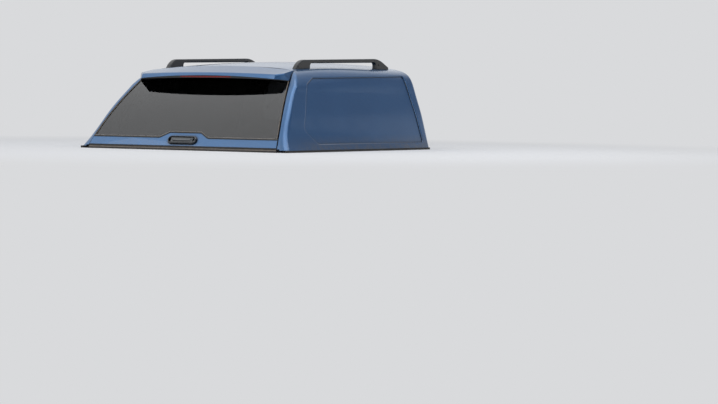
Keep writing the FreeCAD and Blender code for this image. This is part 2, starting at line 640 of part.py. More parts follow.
def spoiler_profile(x, share, under):
    """One profile at a place across; share runs from 0 in the middle to 1 at the lip's end."""
    forward = share * share * (mm.lip_end_y - mm.lip_y)
    lip_y, crease_y = mm.lip_y + forward, mm.crease_y + forward
    root_z = bowed("root", share)
    root = (door_y(root_z), root_z + mm.under_panel)
    lip = (lip_y, bowed("lip", share))
    if under:
        set_in = mm.under_set_in / (root[0] - lip_y)
        top = (lip_y + mm.under_set_in, lip[1] + set_in * (root[1] - lip[1]))
        return closed(x, [top, root, (root[0], root_z), (top[0], bowed("under", share))])
    front_y, front_z = mm.seam_y - mm.seam_gap, seam_height(x)
    return closed(x, [(front_y, front_z), (crease_y, bowed("crease", share)), lip, root,
                      (door_y(mm.glass_top_z), mm.glass_top_z + mm.glass_cover),
                      (front_y, front_z - mm.spoiler_edge)])


def spoiler_tip(side, under):
    """The last profile, outside the door's edge, where the lip has turned forward to meet the glass."""
    x = side * (spoiler_half + mm.spoiler_tip_run)
    root_y = door_y(mm.root_end_z)
    front_y, front_z = mm.seam_y - mm.seam_gap, seam_height(x)
    tip_y, top_z = root_y - mm.spoiler_tip_depth, mm.root_end_z + mm.under_panel
    if under:
        return closed(x, [(tip_y, top_z), (root_y, top_z), (root_y, mm.root_end_z), (tip_y, mm.root_end_z)])
    return closed(x, [(front_y, front_z), (tip_y, mm.tip_crease_z), (tip_y, top_z), (root_y, top_z),
                      (door_y(mm.glass_top_z), mm.glass_top_z + mm.glass_cover),
                      (front_y, front_z - mm.spoiler_edge)])


def spoiler_solid(under=False):
    shares = [i / 4 for i in range(-4, 5)]
    profiles = [spoiler_profile(u * spoiler_half, u, under) for u in shares]
    middle = Part.makeLoft(profiles, True, False)
    tips = [Part.makeLoft([profiles[0], spoiler_tip(-1, under)], True, True),
            Part.makeLoft([profiles[-1], spoiler_tip(1, under)], True, True)]
    solid = middle.fuse(tips).removeSplitter()
    if not under:
        crease = []
        for edge in solid.Edges:
            at = middle_of(edge)
            across = abs(at.x) < 1 or abs(abs(at.x) - spoiler_half) > 1
            if across and at.z > mm.crease_end_z - 3 and at.y < door_y(mm.glass_top_z):
                crease.append(edge)
        solid = solid.makeFillet(mm.crease_round, crease)
    solid = solid.common(back_prism(door_outline(0, mm.door_middle_z, mm.rail_front_corner_z), -FAR, 0))
    return solid.cut(arc_drum(mm.rebate_depth - 5))


keep("spoiler", shaped("Spoiler", spoiler_solid()))
under_panel = spoiler_solid(True).cut(arc_drum(0))
lens_slot = block(-mm.lens_half, mm.lens_half, -FAR, mm.lip_y + mm.lens_depth, mm.lens_bottom_z,
                  mm.lens_bottom_z + mm.lens_height)
keep("brake_light_lens", shaped("BrakeLightLens", under_panel.common(lens_slot)))
keep("spoiler_under_panel", shaped("SpoilerUnderPanel", under_panel.cut(lens_slot)))

# Hinges: a bracket under the roof and a swan-necked arm to the glass, left and right
tilt = math.radians(mm.hinge_leg_angle)
knee = (s.hinge_y - s.hinge_leg * math.sin(tilt), s.hinge_z - s.hinge_leg * math.cos(tilt))
inner_glass = mm.glass_thickness
half_bar = s.hinge_bar / 2
tail_y = s.hinge_y - s.hinge_tail
foot_half, foot_up = mm.hinge_foot_width / 2, mm.hinge_foot_height / 2
for name, side in SIDES:
    x0 = side * s.hinge_x - s.hinge_thickness / 2
    x1 = side * s.hinge_x + s.hinge_thickness / 2
    leg = prism(f"HingeLeg{name}", "side",
                [(s.hinge_y + half_bar * math.cos(tilt), s.hinge_z - half_bar * math.sin(tilt)),
                 (s.hinge_y - half_bar * math.cos(tilt), s.hinge_z + half_bar * math.sin(tilt)),
                 (knee[0] - half_bar, knee[1] + half_bar), (tail_y, s.hinge_foot_z + half_bar),
                 (tail_y, s.hinge_foot_z - half_bar), (knee[0] + half_bar, knee[1] - half_bar)], x0, x1)
    boss = cylinder(f"HingeBoss{name}", s.hinge_bar, s.hinge_thickness, x0, s.hinge_y, s.hinge_z)
    bore = cylinder(f"HingeBore{name}", s.hinge_pin + s.pin_clearance, s.hinge_thickness, x0, s.hinge_y,
                    s.hinge_z)
    doc.recompute()
    centre = side * mm.hinge_x
    foot = door_piece(inner_glass, inner_glass + mm.hinge_foot_thickness, [
        (centre + x, mm.hinge_foot_z + z) for x, z in (
            (-foot_half, -foot_up), (foot_half, -foot_up), (foot_half, foot_up), (-foot_half, foot_up))])
    arm = leg.Shape.common(arc_drum(inner_glass)).fuse(boss.Shape).fuse(foot).cut(bore.Shape).removeSplitter()
    keep(f"hinge_arm_{name}", shaped(f"HingeArm{name}", arm))
    wide = mm.hinge_thickness / 2 + mm.bracket_side_gap + mm.bracket_cheek
    cheeks = block(centre - wide, centre + wide, mm.hinge_y - mm.bracket_behind,
                   mm.hinge_y + mm.bracket_ahead, mm.hinge_z - mm.bracket_below, FAR)
    cheeks = cheeks.cut(block(centre - wide + mm.bracket_cheek, centre + wide - mm.bracket_cheek,
                              -FAR, FAR, 0, mm.hinge_z + mm.bracket_web_up))
    cheeks = cheeks.common(skin(mm.wall))
    pin_bar = Part.makeCylinder(mm.hinge_pin, 2 * wide, Vector(centre - wide, mm.hinge_y, mm.hinge_z),
                                Vector(1, 0, 0))
    keep(f"hinge_bracket_{name}", shaped(f"HingeBracket{name}", cheeks.fuse(pin_bar).removeSplitter()))

# Gas struts
start = Vector(0, mm.strut_shell_y, mm.strut_shell_z)
end = Vector(0, mm.strut_door_y, mm.strut_door_z)
run = (end - start).normalize()
reach = (end - start).Length
print("strut direction", run, "length", round(reach, 2))
for name, side in SIDES:
    at = Vector(side * strut_x, 0, 0)
    across = Vector(side, 0, 0)
    half_eye = mm.eye_width / 2
    eye = Part.makeCylinder(mm.eye_radius, mm.eye_width, at + start - across * half_eye, across)
    eye_bore = Part.makeCylinder(mm.stud_radius + mm.pin_clearance, mm.eye_width,
                                 at + start - across * half_eye, across)
    tube = Part.makeCylinder(mm.tube_radius, mm.tube_length, at + start + run * mm.tube_start, run)
    neck = Part.makeCylinder(mm.rod_radius + mm.neck_wall, mm.tube_start, at + start, run)
    bore = Part.makeCylinder(mm.rod_radius + mm.pin_clearance, mm.tube_length,
                             at + start + run * (mm.tube_start + mm.tube_cap), run)
    keep(f"strut_cylinder_{name}", shaped(f"StrutCylinder{name}",
                                          tube.fuse(neck).fuse(eye).cut(eye_bore).cut(bore).removeSplitter()))
    rod = Part.makeCylinder(mm.rod_radius, mm.rod_length, at + end - run * mm.rod_length, run)
    socket = Part.makeCylinder(mm.eye_radius, mm.eye_width, at + end - across * half_eye, across)
    keep(f"strut_rod_{name}", shaped(f"StrutRod{name}", rod.fuse(socket).removeSplitter()))
    stud = Part.makeCylinder(mm.stud_radius, mm.eye_width + mm.strut_plate_gap + mm.strut_plate,
                             at + start - across * half_eye, across)
    plate = block(-mm.strut_plate / 2, mm.strut_plate / 2, mm.strut_shell_y - mm.strut_plate_behind,
                  mm.strut_shell_y + mm.strut_plate_ahead, mm.strut_shell_z - mm.strut_plate_behind, FAR)
    plate.translate(at + across * (half_eye + mm.strut_plate_gap + mm.strut_plate / 2))
    plate = plate.common(skin(mm.wall))
    keep(f"strut_bracket_{name}", shaped(f"StrutBracket{name}", plate.fuse(stud).removeSplitter()))
    stud_x = side * (strut_x + half_eye + mm.stud_gap)
    lug = Part.makeCylinder(mm.stud_radius, mm.lug_length, Vector(stud_x, end.y, end.z), across)
    lug_plate = block(-mm.lug_plate / 2, mm.lug_plate / 2, end.y - mm.lug_plate_behind,
                      end.y + mm.lug_plate_ahead, end.z - mm.lug_plate_half, end.z + mm.lug_plate_half)
    lug_plate.translate(Vector(stud_x + side * (mm.lug_length - mm.lug_plate / 2 + 0.5), 0, 0))
    lug_plate = lug_plate.common(arc_drum(inner_glass))
    lug = lug.fuse(lug_plate).removeSplitter()
    keep(f"door_strut_bracket_{name}", shaped(f"DoorStrutBracket{name}", lug))

# Latches behind the painted panel, worked by rods from the handle
normal = Rotation(Vector(1, 0, 0), math.degrees(math.acos((mm.latch_z - arc_z) / mm.arc_radius)))
for name, side in SIDES:
    centre = Vector(side * latch_x, door_y(mm.latch_z), mm.latch_z)
    latch = block(-mm.latch_width / 2, mm.latch_width / 2, -mm.latch_height / 2, mm.latch_height / 2,
                  -mm.panel_back - mm.latch_depth, -mm.panel_back + 0.5)
    slot = block(-mm.latch_width, mm.latch_width, -mm.latch_height, mm.striker_radius + mm.pin_gap,
                 -FAR, -mm.striker_depth + mm.latch_throat)
    latch = latch.cut(slot)
    latch.Placement = Placement(centre, normal)
    latch = latch.common(arc_drum(mm.panel_back))
    keep(f"latch_{name}", shaped(f"Latch{name}", latch))
    striker_at = Placement(centre, normal).multVec(Vector(0, 0, -mm.striker_depth))
    bar_start = striker_at - Vector(side * mm.striker_reach, 0, 0)
    bar = Part.makeCylinder(mm.striker_radius, mm.striker_length, bar_start, Vector(side, 0, 0))
    post = mm.striker_post / 2
    bearer = block(-post, post, -post, post, -mm.striker_depth - mm.striker_post_below, 0)
    bearer.Placement = Placement(centre + Vector(side * mm.striker_post_out, 0, 0), normal)
    bearer = bearer.common(arc_drum(mm.rear_frame_depth))
    keep(f"striker_{name}", shaped(f"Striker{name}", bearer.fuse(bar).removeSplitter()))
    rod_at = handle_lug.multVec(Vector(0, 0, -mm.panel_back - mm.latch_rod_radius - mm.seal_clearance))
    rod_start = mm.handle_length / 2 + mm.seal_clearance
    rod = Part.makeCylinder(mm.latch_rod_radius, latch_x - mm.latch_width / 2 - rod_start,
                            Vector(side * rod_start, rod_at.y, rod_at.z), Vector(side, 0, 0))
    keep(f"latch_rod_{name}", shaped(f"LatchRod{name}", rod))

# Roof rails: one smooth arch on each side, made as a bar and two feet
toe = math.degrees(math.atan2(rail_front_x - rail_rear_x, mm.rail_front_corner_y - mm.rail_rear_corner_y))


def rail_arch():
    """The whole rail, drawn from the side and rounded along its long edges; it starts inside the roof."""
    sunk = mm.rear_roof_edge
    corners = [(mm.rail_rear_tip_y, sunk, 0), (mm.rail_rear_tip_y, mm.rail_rear_tip_z, 0),
               (mm.rail_rear_corner_y, mm.rail_rear_corner_z, mm.rail_rear_bend),
               (mm.rail_front_corner_y, mm.rail_front_corner_z, mm.rail_front_bend),
               (mm.rail_front_tip_y, mm.rail_front_tip_z, 0), (mm.rail_front_tip_y, sunk, 0),
               (mm.rail_foot_front, sunk, 0),
               (mm.rail_foot_front, mm.rail_under_front_z, mm.rail_inner_round),
               (mm.rail_foot_back, mm.rail_under_rear_z, mm.rail_inner_round),
               (mm.rail_foot_back, sunk, 0)]
    arch = bent_prism([(Vector(-mm.rail_width / 2, y, z), bend) for y, z, bend in corners],
                      Vector(mm.rail_width, 0, 0))
    along = [e for e in arch.Edges if abs(e.tangentAt(e.FirstParameter).x) < 0.5
             and e.BoundBox.ZMax > sunk + 1]
    return arch.makeFillet(mm.rail_round, along)


arch = rail_arch()
roof_skin = skin(0)
joints = (-FAR, mm.rail_joint_rear, mm.rail_joint_front, FAR)
for name, side in SIDES:
    for part, back, front in zip(("rail_foot_rear", "roof_rail", "rail_foot_front"), joints, joints[1:]):
        piece = arch.common(block(-mm.rail_width, mm.rail_width, back, front, 0, FAR))
        piece.Placement = Placement(Vector(side * rail_rear_x, mm.rail_rear_corner_y, 0),
                                    Rotation(Vector(0, 0, 1), -side * toe)).multiply(
            Placement(Vector(0, -mm.rail_rear_corner_y, 0), Rotation()))
        if part != "roof_rail":
            piece = piece.cut(roof_skin)
        keep(f"{part}_{name}", shaped(part.title().replace("_", "") + name, piece))

doc.recompute()
failed = [o.Name for o in doc.Objects if "Invalid" in o.State or "Error" in o.State]
failed += [o.Label for o in nodes if o.Shape.isNull() or not o.Shape.isValid()]
for node in nodes:
    print(node.Label, len(node.Shape.Solids), round(node.Shape.Volume / 1000, 1), node.Shape.BoundBox)
if failed:
    raise SystemExit("not built: " + ", ".join(failed))
os.makedirs("parts", exist_ok=True)
for node in nodes:
    node.Shape.exportStep(f"parts/{node.Label}.step")
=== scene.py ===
# %% [markdown]
# # A hardtop canopy
# The real object is a painted fibreglass cover: one moulding with two blank side panels, a lift-up rear door
# of tinted glass under a spoiler, and two black rails on its roof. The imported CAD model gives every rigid
# piece its place. It could be modelled again here, but then the two models would drift apart. So this script
# loads it as a fixed frame, gives its pieces their finishes, and adds the small things that are too fine for
# the CAD: screws, plugs, rubber beads and lips, felt and wear.

# %% Load the frame
import math

import bmesh
import bpy
from mathutils import Matrix, Vector
from mathutils.bvhtree import BVHTree


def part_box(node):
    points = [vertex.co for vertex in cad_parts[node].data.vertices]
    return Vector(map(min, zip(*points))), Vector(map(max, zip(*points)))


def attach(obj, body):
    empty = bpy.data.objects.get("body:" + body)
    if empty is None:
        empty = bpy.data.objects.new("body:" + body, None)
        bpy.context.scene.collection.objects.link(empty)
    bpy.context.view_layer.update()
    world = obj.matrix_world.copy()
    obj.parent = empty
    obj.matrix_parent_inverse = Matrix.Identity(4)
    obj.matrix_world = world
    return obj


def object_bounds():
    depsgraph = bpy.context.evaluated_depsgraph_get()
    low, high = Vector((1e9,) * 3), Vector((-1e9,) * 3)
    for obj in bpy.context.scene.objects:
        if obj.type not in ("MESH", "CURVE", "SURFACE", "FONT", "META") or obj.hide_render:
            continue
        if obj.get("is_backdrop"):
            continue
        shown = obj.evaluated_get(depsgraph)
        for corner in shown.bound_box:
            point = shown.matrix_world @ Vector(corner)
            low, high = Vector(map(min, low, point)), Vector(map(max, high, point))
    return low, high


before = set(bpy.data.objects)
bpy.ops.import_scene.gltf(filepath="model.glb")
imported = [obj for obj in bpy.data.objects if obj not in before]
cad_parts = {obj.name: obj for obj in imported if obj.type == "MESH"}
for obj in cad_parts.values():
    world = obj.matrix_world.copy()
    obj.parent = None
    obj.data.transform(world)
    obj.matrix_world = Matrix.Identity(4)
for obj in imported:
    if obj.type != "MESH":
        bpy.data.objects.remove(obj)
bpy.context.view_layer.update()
MM = 0.001

# %% [markdown]
# ## Colours
# Paint charts and web pages give colours as sRGB hex codes, while the renderer works with linear light. Each
# colour could be typed as three linear numbers, but those are hard to compare with a chart. So one function
# turns a code into linear light, by the curve that the sRGB standard gives.

# %% A hex code as linear light
def linear(code):
    """An sRGB hex colour as linear red, green and blue with a full alpha."""
    parts = [int(code[i:i + 2], 16) / 255 for i in (1, 3, 5)]
    return tuple(c / 12.92 if c <= 0.04045 else ((c + 0.055) / 1.055) ** 2.4 for c in parts) + (1.0,)


print("half way up the code is", round(linear("#808080")[0], 2), "of full light")

# %% [markdown]
# ## Nodes
# A material in Blender is a tree of small nodes with wires between them. They are wired by hand in the
# shader editor, and a script can do the same line by line, which takes many lines. One function adds any
# node with its settings and its wires in one call, so every material below stays short enough to read. The
# inputs are given by name, or as a row in the order in which the editor shows them. A Map Range node's row,
# for one, is a value, the stretch that it comes from and the stretch that it goes to.

# %% One function for every node
def feed(tree, made, inputs):
    """Fills a node's inputs, by name or as a row; a node as a value stands for its first output in use."""
    row = [socket for socket in made.inputs if socket.enabled]
    for key, value in inputs.items() if isinstance(inputs, dict) else enumerate(inputs):
        socket = made.inputs[key] if isinstance(key, str) else row[key]
        if isinstance(value, bpy.types.Node):
            value = next(output for output in value.outputs if output.enabled)
        if isinstance(value, bpy.types.NodeSocket):
            tree.links.new(value, socket)
        else:
            socket.default_value = linear(value) if isinstance(value, str) else value


def node(tree, kind, inputs=(), **settings):
    """Adds a node; its inputs may be numbers, hex colours, other nodes or their outputs."""
    made = tree.nodes.new("ShaderNode" + kind)
    for name, value in settings.items():
        setattr(made, name, value)
    feed(tree, made, inputs)
    return made


# %% [markdown]
# ## A material to start from
# Each surface starts as one Principled shader, Blender's general model of a real surface: a base with a
# colour and a roughness, a share of metal, and a clear coat on top. It could be mixed from simpler shaders,
# but the Principled one keeps its parts in balance, and other programs can read it. A value that is the same
# all over is set on the shader's own socket, and what changes over the surface is wired to it.

# %% A Principled material
def new_material(name):
    """A material with its tree, its Principled shader and the place that its patterns are read at."""
    material = bpy.data.materials.new(name)
    material.use_nodes = True
    tree = material.node_tree
    shader = next(n for n in tree.nodes if n.type == "BSDF_PRINCIPLED")
    place = node(tree, "TexCoord").outputs["Object"]
    print("material", name)
    return material, tree, shader, place


# %% [markdown]
# ## Patterns, relief and soft edges
# No real surface is even: paint drifts in tone, rubber is grainy, and plastic carries the texture of its
# mould. A picture could be wrapped round the piece for that, but it would stretch and show its seams. Noise
# is worked out at every point in space instead, and its scale is one over a real size, given in millimetres.
# Its values lie mostly between 0.3 and 0.7, so most patterns stretch that part before they use it.
#
# Orange peel in lacquer or the grain of a moulding is only hundredths of a millimetre high. It could be real
# geometry, but that takes millions of faces, and the eye only sees how it bends the light. A Bump node bends
# the light the same way from a height in metres. A Bevel node does so along edges, where a paint film or a
# moulded skin is always a little round and catches a thin line of light.

# %% Rays that feel for an edge
EDGE_SAMPLES = 6
print("soft edges take", EDGE_SAMPLES, "samples each")

# %% [markdown]
# ## A finish on the CAD pieces
# The CAD pieces have the right shape but no finish. A painted copy could stand in for each, but a copy can
# end up in the wrong place. So only the material slots of the CAD pieces are filled, and their meshes are
# left alone.

# %% A coat for CAD nodes
def coat(*names, material):
    """Gives CAD nodes their finish."""
    for name in names:
        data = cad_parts[name].data
        data.materials.clear()
        data.materials.append(material)
    print(material.name, "on", ", ".join(names))


# %% [markdown]
# ## The paint
# The moulding is sprayed with a metallic basecoat and a clear lacquer. Flakes of aluminium in the blue make
# it lighter where it faces the light, and the lacquer adds a sharp reflection. Layers of shaders could
# imitate that, but a Principled shader has both: a partly metallic base of some roughness, under a smooth
# coat. Cells of a Voronoi texture give each flake its own tone. Real flakes are finer than a tenth of a
# millimetre, and these are coarser, because the real ones would only show as noise.

# %% The blue with its flakes
FLAKE, DRIFT = 1.4 * MM, 350 * MM


def flaked_blue(tree, place):
    """Flakes of slightly different blues, and a slow drift to a deeper one."""
    flake = node(tree, "TexVoronoi", {"Vector": place, "Scale": 1 / FLAKE}).outputs["Color"]
    spark = node(tree, "SeparateXYZ", [flake]).outputs["X"]
    blue = node(tree, "Mix", [spark, "#2a517a", "#3a6189"], data_type="RGBA")
    cloud = node(tree, "TexNoise", {"Vector": place, "Scale": 1 / DRIFT, "Detail": 2})
    deeper = node(tree, "MapRange", [cloud, 0.35, 0.65, 0, 0.25])
    return node(tree, "Mix", [deeper, blue, "#264a70"], data_type="RGBA")


# %% [markdown]
# ## Dust and painted corner shade on the paint
# Fine dust settles low on the sides, and less on the door, which hands wipe. It could be painted on by hand,
# but it follows two simple rules, so two ramps along the height and the length give its share, and a patchy
# noise breaks it up. The paint is also darkened in corners, such as the step round each side panel: this is
# painted shade. Ambient occlusion finds such corners: it is 1 on an open face, and falls where walls stand
# close.

# %% Where dust lies and where corner shade is painted
DUST_FULL_Z, DUST_TOP_Z, DUST_MOST = 20 * MM, 100 * MM, 0.55
DOOR_Y, SIDES_Y, DOOR_SHARE = -0.75, -0.5, 0.15
# How far ambient occlusion looks for walls, for the painted corner shade.
CORNER_REACH, CORNER_SAMPLES, TIGHT, OPEN = 20 * MM, 8, 0.6, 0.96


def settled_dust(tree, place, patch):
    """How much dust lies on a spot."""
    parts = node(tree, "SeparateXYZ", [place]).outputs
    low_down = node(tree, "MapRange", [parts["Z"], DUST_FULL_Z, DUST_TOP_Z, DUST_MOST, 0])
    off_door = node(tree, "MapRange", [parts["Y"], DOOR_Y, SIDES_Y, DOOR_SHARE, 1])
    on_sides = node(tree, "Math", [low_down, off_door], operation="MULTIPLY")
    return node(tree, "Math", [on_sides, patch], operation="MULTIPLY")


# Painted shade: the paint's colour goes darker in tight corners, where less light falls.
def painted_corner_shade(tree):
    """How much painted shade darkens a spot, full in a tight corner."""
    corner = node(tree, "AmbientOcclusion", {"Distance": CORNER_REACH}, samples=CORNER_SAMPLES).outputs["AO"]
    return node(tree, "MapRange", [corner, TIGHT, OPEN, 1, 0])


# %% Metallic blue lacquer
PEEL, PEEL_DEPTH, PAINT_EDGE, DUST_PATCH = 5 * MM, 0.012 * MM, 3 * MM, 30 * MM


def make_paint():
    # Metallic basecoat under clear lacquer: a satin glow that moves with the light, and a hard gloss on top.
    material, tree, shader, place = new_material("metallic_blue_lacquer")
    noise = node(tree, "TexNoise", {"Vector": place, "Scale": 1 / DUST_PATCH, "Detail": 6})
    patch = node(tree, "MapRange", [noise, 0.35, 0.66, 0.45, 1])
    dust = settled_dust(tree, place, patch)
    dusty = node(tree, "Mix", [dust, flaked_blue(tree, place), "#6a6358"], data_type="RGBA")
    peel = node(tree, "TexNoise", {"Vector": place, "Scale": 1 / PEEL, "Detail": 1})
    soft = node(tree, "Bevel", {"Radius": PAINT_EDGE}, samples=EDGE_SAMPLES)
    # The base colour is darkened towards #10141b in tight corners: painted shade.
    feed(tree, shader, {
        "Base Color": node(tree, "Mix", [painted_corner_shade(tree), dusty, "#10141b"], data_type="RGBA"),
        "Roughness": node(tree, "MapRange", [patch, 0, 1, 0.33, 0.38]),
        "Normal": node(tree, "Bump", {"Height": peel, "Distance": PEEL_DEPTH, "Normal": soft}),
        "Coat Normal": soft, "Metallic": 0.8, "Coat Weight": 0.7, "Coat Roughness": 0.03, "Coat IOR": 1.45})
    return material


coat("shell", "door_bottom_panel", "spoiler", material=make_paint())

# %% [markdown]
# ## The glass
# The rear door and the front window are tempered privacy glass, tinted so dark all through that its grey is
# mostly the light which its polished faces mirror. It could be a dark gloss paint, but then nothing would
# ever show through it. So it lets light through as real glass does, with a dark tint. The shader mirrors
# with one face, and the clear coat stands for the mirror image in the other. A thin uneven film of dust
# makes it duller in places.

# %% Tinted glass
FILM = 120 * MM


def make_glass():
    # Tempered privacy glass: dark and hard, with clean reflections that a film of dust softens in places.
    material, tree, shader, place = new_material("tinted_tempered_glass")
    film = node(tree, "TexNoise", {"Vector": place, "Scale": 1 / FILM, "Detail": 4})
    dusty = node(tree, "MapRange", [film, 0.3, 0.7, 0, 1])
    feed(tree, shader, {
        "Base Color": node(tree, "Mix", [dusty, "#47494b", "#505254"], data_type="RGBA"),
        "Roughness": node(tree, "MapRange", [film, 0.35, 0.75, 0.015, 0.07]),
        "Transmission Weight": 1, "IOR": 1.52, "Coat Weight": 0.2, "Coat IOR": 1.6})
    return material


coat("door_glass", "front_window_glass", material=make_glass())

# %% [markdown]
# ## The rubber
# The seals are extruded EPDM rubber: soft, matt and black when new. Light and dust turn the outer ones
# grey-brown, and a thin bead on the glass most of all. That bead's pale tone also stands for the light line
# which its round top catches, so part of it is a painted highlight. One even dark colour would look like a
# hole in the picture. So each rubber mixes a fresh tone with a dusty one by a patchy noise, duller where the
# dust lies, over a fine grained skin. One function makes the new, the weathered and the pale rubber from
# three pairs of tones.

# %% New, weathered and pale rubber, the pale one with a painted highlight
SKIN, SKIN_DEPTH, RUBBER_PATCH = 0.9 * MM, 0.08 * MM, 25 * MM


def make_rubber(name, fresh, dusty):
    # Extruded EPDM rubber: soft, with a matt skin, greyed by dust that stays in its grain.
    material, tree, shader, place = new_material(name)
    skin = node(tree, "TexNoise", {"Vector": place, "Scale": 1 / SKIN, "Detail": 4})
    noise = node(tree, "TexNoise", {"Vector": place, "Scale": 1 / RUBBER_PATCH, "Detail": 6})
    dust = node(tree, "MapRange", [noise, 0.4, 0.7, 0, 1])
    feed(tree, shader, {
        "Base Color": node(tree, "Mix", [dust, fresh, dusty], data_type="RGBA"),
        "Roughness": node(tree, "MapRange", [dust, 0, 1, 0.55, 0.78]),
        "Normal": node(tree, "Bump", {"Height": skin, "Distance": SKIN_DEPTH}), "IOR": 1.5})
    return material


rubber = make_rubber("extruded_epdm_rubber", "#1d1c1b", "#37332f")
weathered_rubber = make_rubber("weathered_epdm_rubber", "#554e48", "#736b63")
# The glass bead's pale tone is partly bleaching and partly a painted highlight of its round top.
pale_rubber_painted_highlight = make_rubber("pale_epdm_rubber_painted_highlight", "#6a6764", "#827e7a")
coat("base_seal_left", "base_seal_right", "base_seal_front", "front_window_seal", "door_seal_left",
     "door_seal_right", "door_seal_top", material=rubber)
coat("door_bottom_seal", material=weathered_rubber)

# %% [markdown]
# ## The black nylon
# The rails and their feet are moulded from glass-filled nylon, in a mould that sparks have eroded to a fine
# even texture. The texture could be displaced geometry, but at a twentieth of a millimetre only its effect
# on the light shows. So it is relief in the material, with a slow drift between satin and duller patches.

# %% Moulded nylon
SPARK_TEXTURE, SPARK_DEPTH, NYLON_PATCH, NYLON_EDGE = 1.1 * MM, 0.05 * MM, 60 * MM, 3 * MM


def make_rail_plastic():
    # Glass-filled nylon moulded in a spark-eroded tool: black, with a fine even texture and a satin shine.
    material, tree, shader, place = new_material("moulded_black_nylon")
    texture = node(tree, "TexNoise", {"Vector": place, "Scale": 1 / SPARK_TEXTURE, "Detail": 2})
    noise = node(tree, "TexNoise", {"Vector": place, "Scale": 1 / NYLON_PATCH, "Detail": 5})
    cloud = node(tree, "MapRange", [noise, 0.35, 0.7, 0, 1])
    soft = node(tree, "Bevel", {"Radius": NYLON_EDGE}, samples=EDGE_SAMPLES)
    feed(tree, shader, {
        "Base Color": node(tree, "Mix", [cloud, "#0f0f10", "#191a1b"], data_type="RGBA"),
        "Roughness": node(tree, "MapRange", [cloud, 0, 1, 0.26, 0.4]),
        "Normal": node(tree, "Bump", {"Height": texture, "Distance": SPARK_DEPTH, "Normal": soft}),
        "Coat Normal": soft, "IOR": 1.53})
    return material


nylon = make_rail_plastic()
coat("roof_rail_left", "roof_rail_right", "rail_foot_front_left", "rail_foot_front_right",
     "rail_foot_rear_left", "rail_foot_rear_right", material=nylon)

# %% [markdown]
# ## The grained ABS
# The panel under the spoiler and the latches' covers are black ABS, pressed with a leathery grain that hides
# scratches. Noise would give soft blobs, while leather has small islands with creases between them. The
# cells of a Voronoi texture have that form, so their height is the grain.

# %% Grained ABS
LEATHER, LEATHER_DEPTH, ABS_PATCH = 1.6 * MM, 0.08 * MM, 50 * MM


def make_abs():
    # Vacuum-formed ABS sheet: black, with a leathery pressed grain.
    material, tree, shader, place = new_material("grained_black_abs")
    cells = node(tree, "TexVoronoi", {"Vector": place, "Scale": 1 / LEATHER}).outputs["Distance"]
    cloud = node(tree, "TexNoise", {"Vector": place, "Scale": 1 / ABS_PATCH, "Detail": 5})
    feed(tree, shader, {
        "Base Color": node(tree, "Mix", [cloud, "#0c0c0d", "#151516"], data_type="RGBA"),
        "Roughness": node(tree, "MapRange", [cloud, 0.3, 0.7, 0.36, 0.5]),
        "Normal": node(tree, "Bump", {"Height": cells, "Distance": LEATHER_DEPTH}), "IOR": 1.54})
    return material


coat("spoiler_under_panel", "latch_left", "latch_right", material=make_abs())

# %% [markdown]
# ## The red lens
# The brake light's cover is acrylic, dyed red right through, with prisms pressed into it that break up the
# light. The prisms could be cut as geometry, but the lens is far away in the picture. So a wave along the
# lens gives its bands of lighter and darker red and a shallow relief. The wave turns by one radian in 4 mm,
# so a band is 25 mm wide: coarser than the real prisms, because those would be too fine to show.

# %% Red acrylic
RADIAN_RUN, WAVE_RATE, PRISM_DEPTH = 4 * MM, 20, 0.2 * MM


def make_lens():
    # Acrylic lamp cover, dyed red: glossy outside, with pressed prisms inside that break up the light.
    material, tree, shader, place = new_material("dyed_red_acrylic")
    across = node(tree, "Mapping", {"Vector": place, "Scale": (1, 0, 0)})
    ribs = node(tree, "TexWave", {"Vector": across, "Scale": 1 / (WAVE_RATE * RADIAN_RUN)},
                bands_direction="X").outputs["Fac"]
    feed(tree, shader, {
        "Base Color": node(tree, "Mix", [ribs, "#6b0d11", "#8c1418"], data_type="RGBA"),
        "Roughness": node(tree, "MapRange", [ribs, 0, 1, 0.06, 0.12]),
        "Normal": node(tree, "Bump", {"Height": ribs, "Distance": PRISM_DEPTH}),
        "IOR": 1.49, "Transmission Weight": 0.2})
    return material


coat("brake_light_lens", material=make_lens())

# %% [markdown]
# ## The black chrome
# The handle and its housing are a casting with a skin of black chrome: a dark metal with nearly a mirror's
# polish. Black gloss paint would only mirror at its edges, while this skin mirrors all over, so the base is
# metal and its colour dims the reflection. Hands leave faint wiping marks, drawn out along the handle, that
# roughen the polish.

# %% Black chrome
WIPE, WIPE_STRETCH, WIPE_DEPTH, CAST_EDGE = 18 * MM, (0.25, 1, 1), 0.01 * MM, 4 * MM


def make_handle():
    # Die-cast handle in black chrome: deep grey under a mirror-like skin, with faint wiping marks.
    material, tree, shader, place = new_material("black_chrome_casting")
    drawn_out = node(tree, "Mapping", {"Vector": place, "Scale": WIPE_STRETCH})
    wipe = node(tree, "TexNoise", {"Vector": drawn_out, "Scale": 1 / WIPE, "Detail": 6})
    wiped = node(tree, "MapRange", [wipe, 0.3, 0.7, 0, 1])
    soft = node(tree, "Bevel", {"Radius": CAST_EDGE}, samples=EDGE_SAMPLES)
    feed(tree, shader, {
        "Base Color": node(tree, "Mix", [wiped, "#34373a", "#44474a"], data_type="RGBA"),
        "Roughness": node(tree, "MapRange", [wipe, 0.3, 0.7, 0.12, 0.22]),
        "Normal": node(tree, "Bump", {"Height": wipe, "Distance": WIPE_DEPTH, "Normal": soft}),
        "Coat Normal": soft, "Metallic": 0.9, "Coat Weight": 0.5, "Coat Roughness": 0.04})
    return material


black_chrome = make_handle()
coat("handle_housing", "handle_paddle", material=black_chrome)

# %% [markdown]
# ## The black steel
# Hinges, brackets and the gas struts' cylinders are steel with a thin black coat, laid on in an electric
# bath. It follows every mark of the rolled sheet below. Plain black would hide those forms in the dark of
# the interior, so patches of handling wear are greyer and duller, over a slight unevenness.

# %% Electro-coated steel
WEAR_PATCH, ROLLED, ROLLED_DEPTH = 9 * MM, 2 * MM, 0.03 * MM


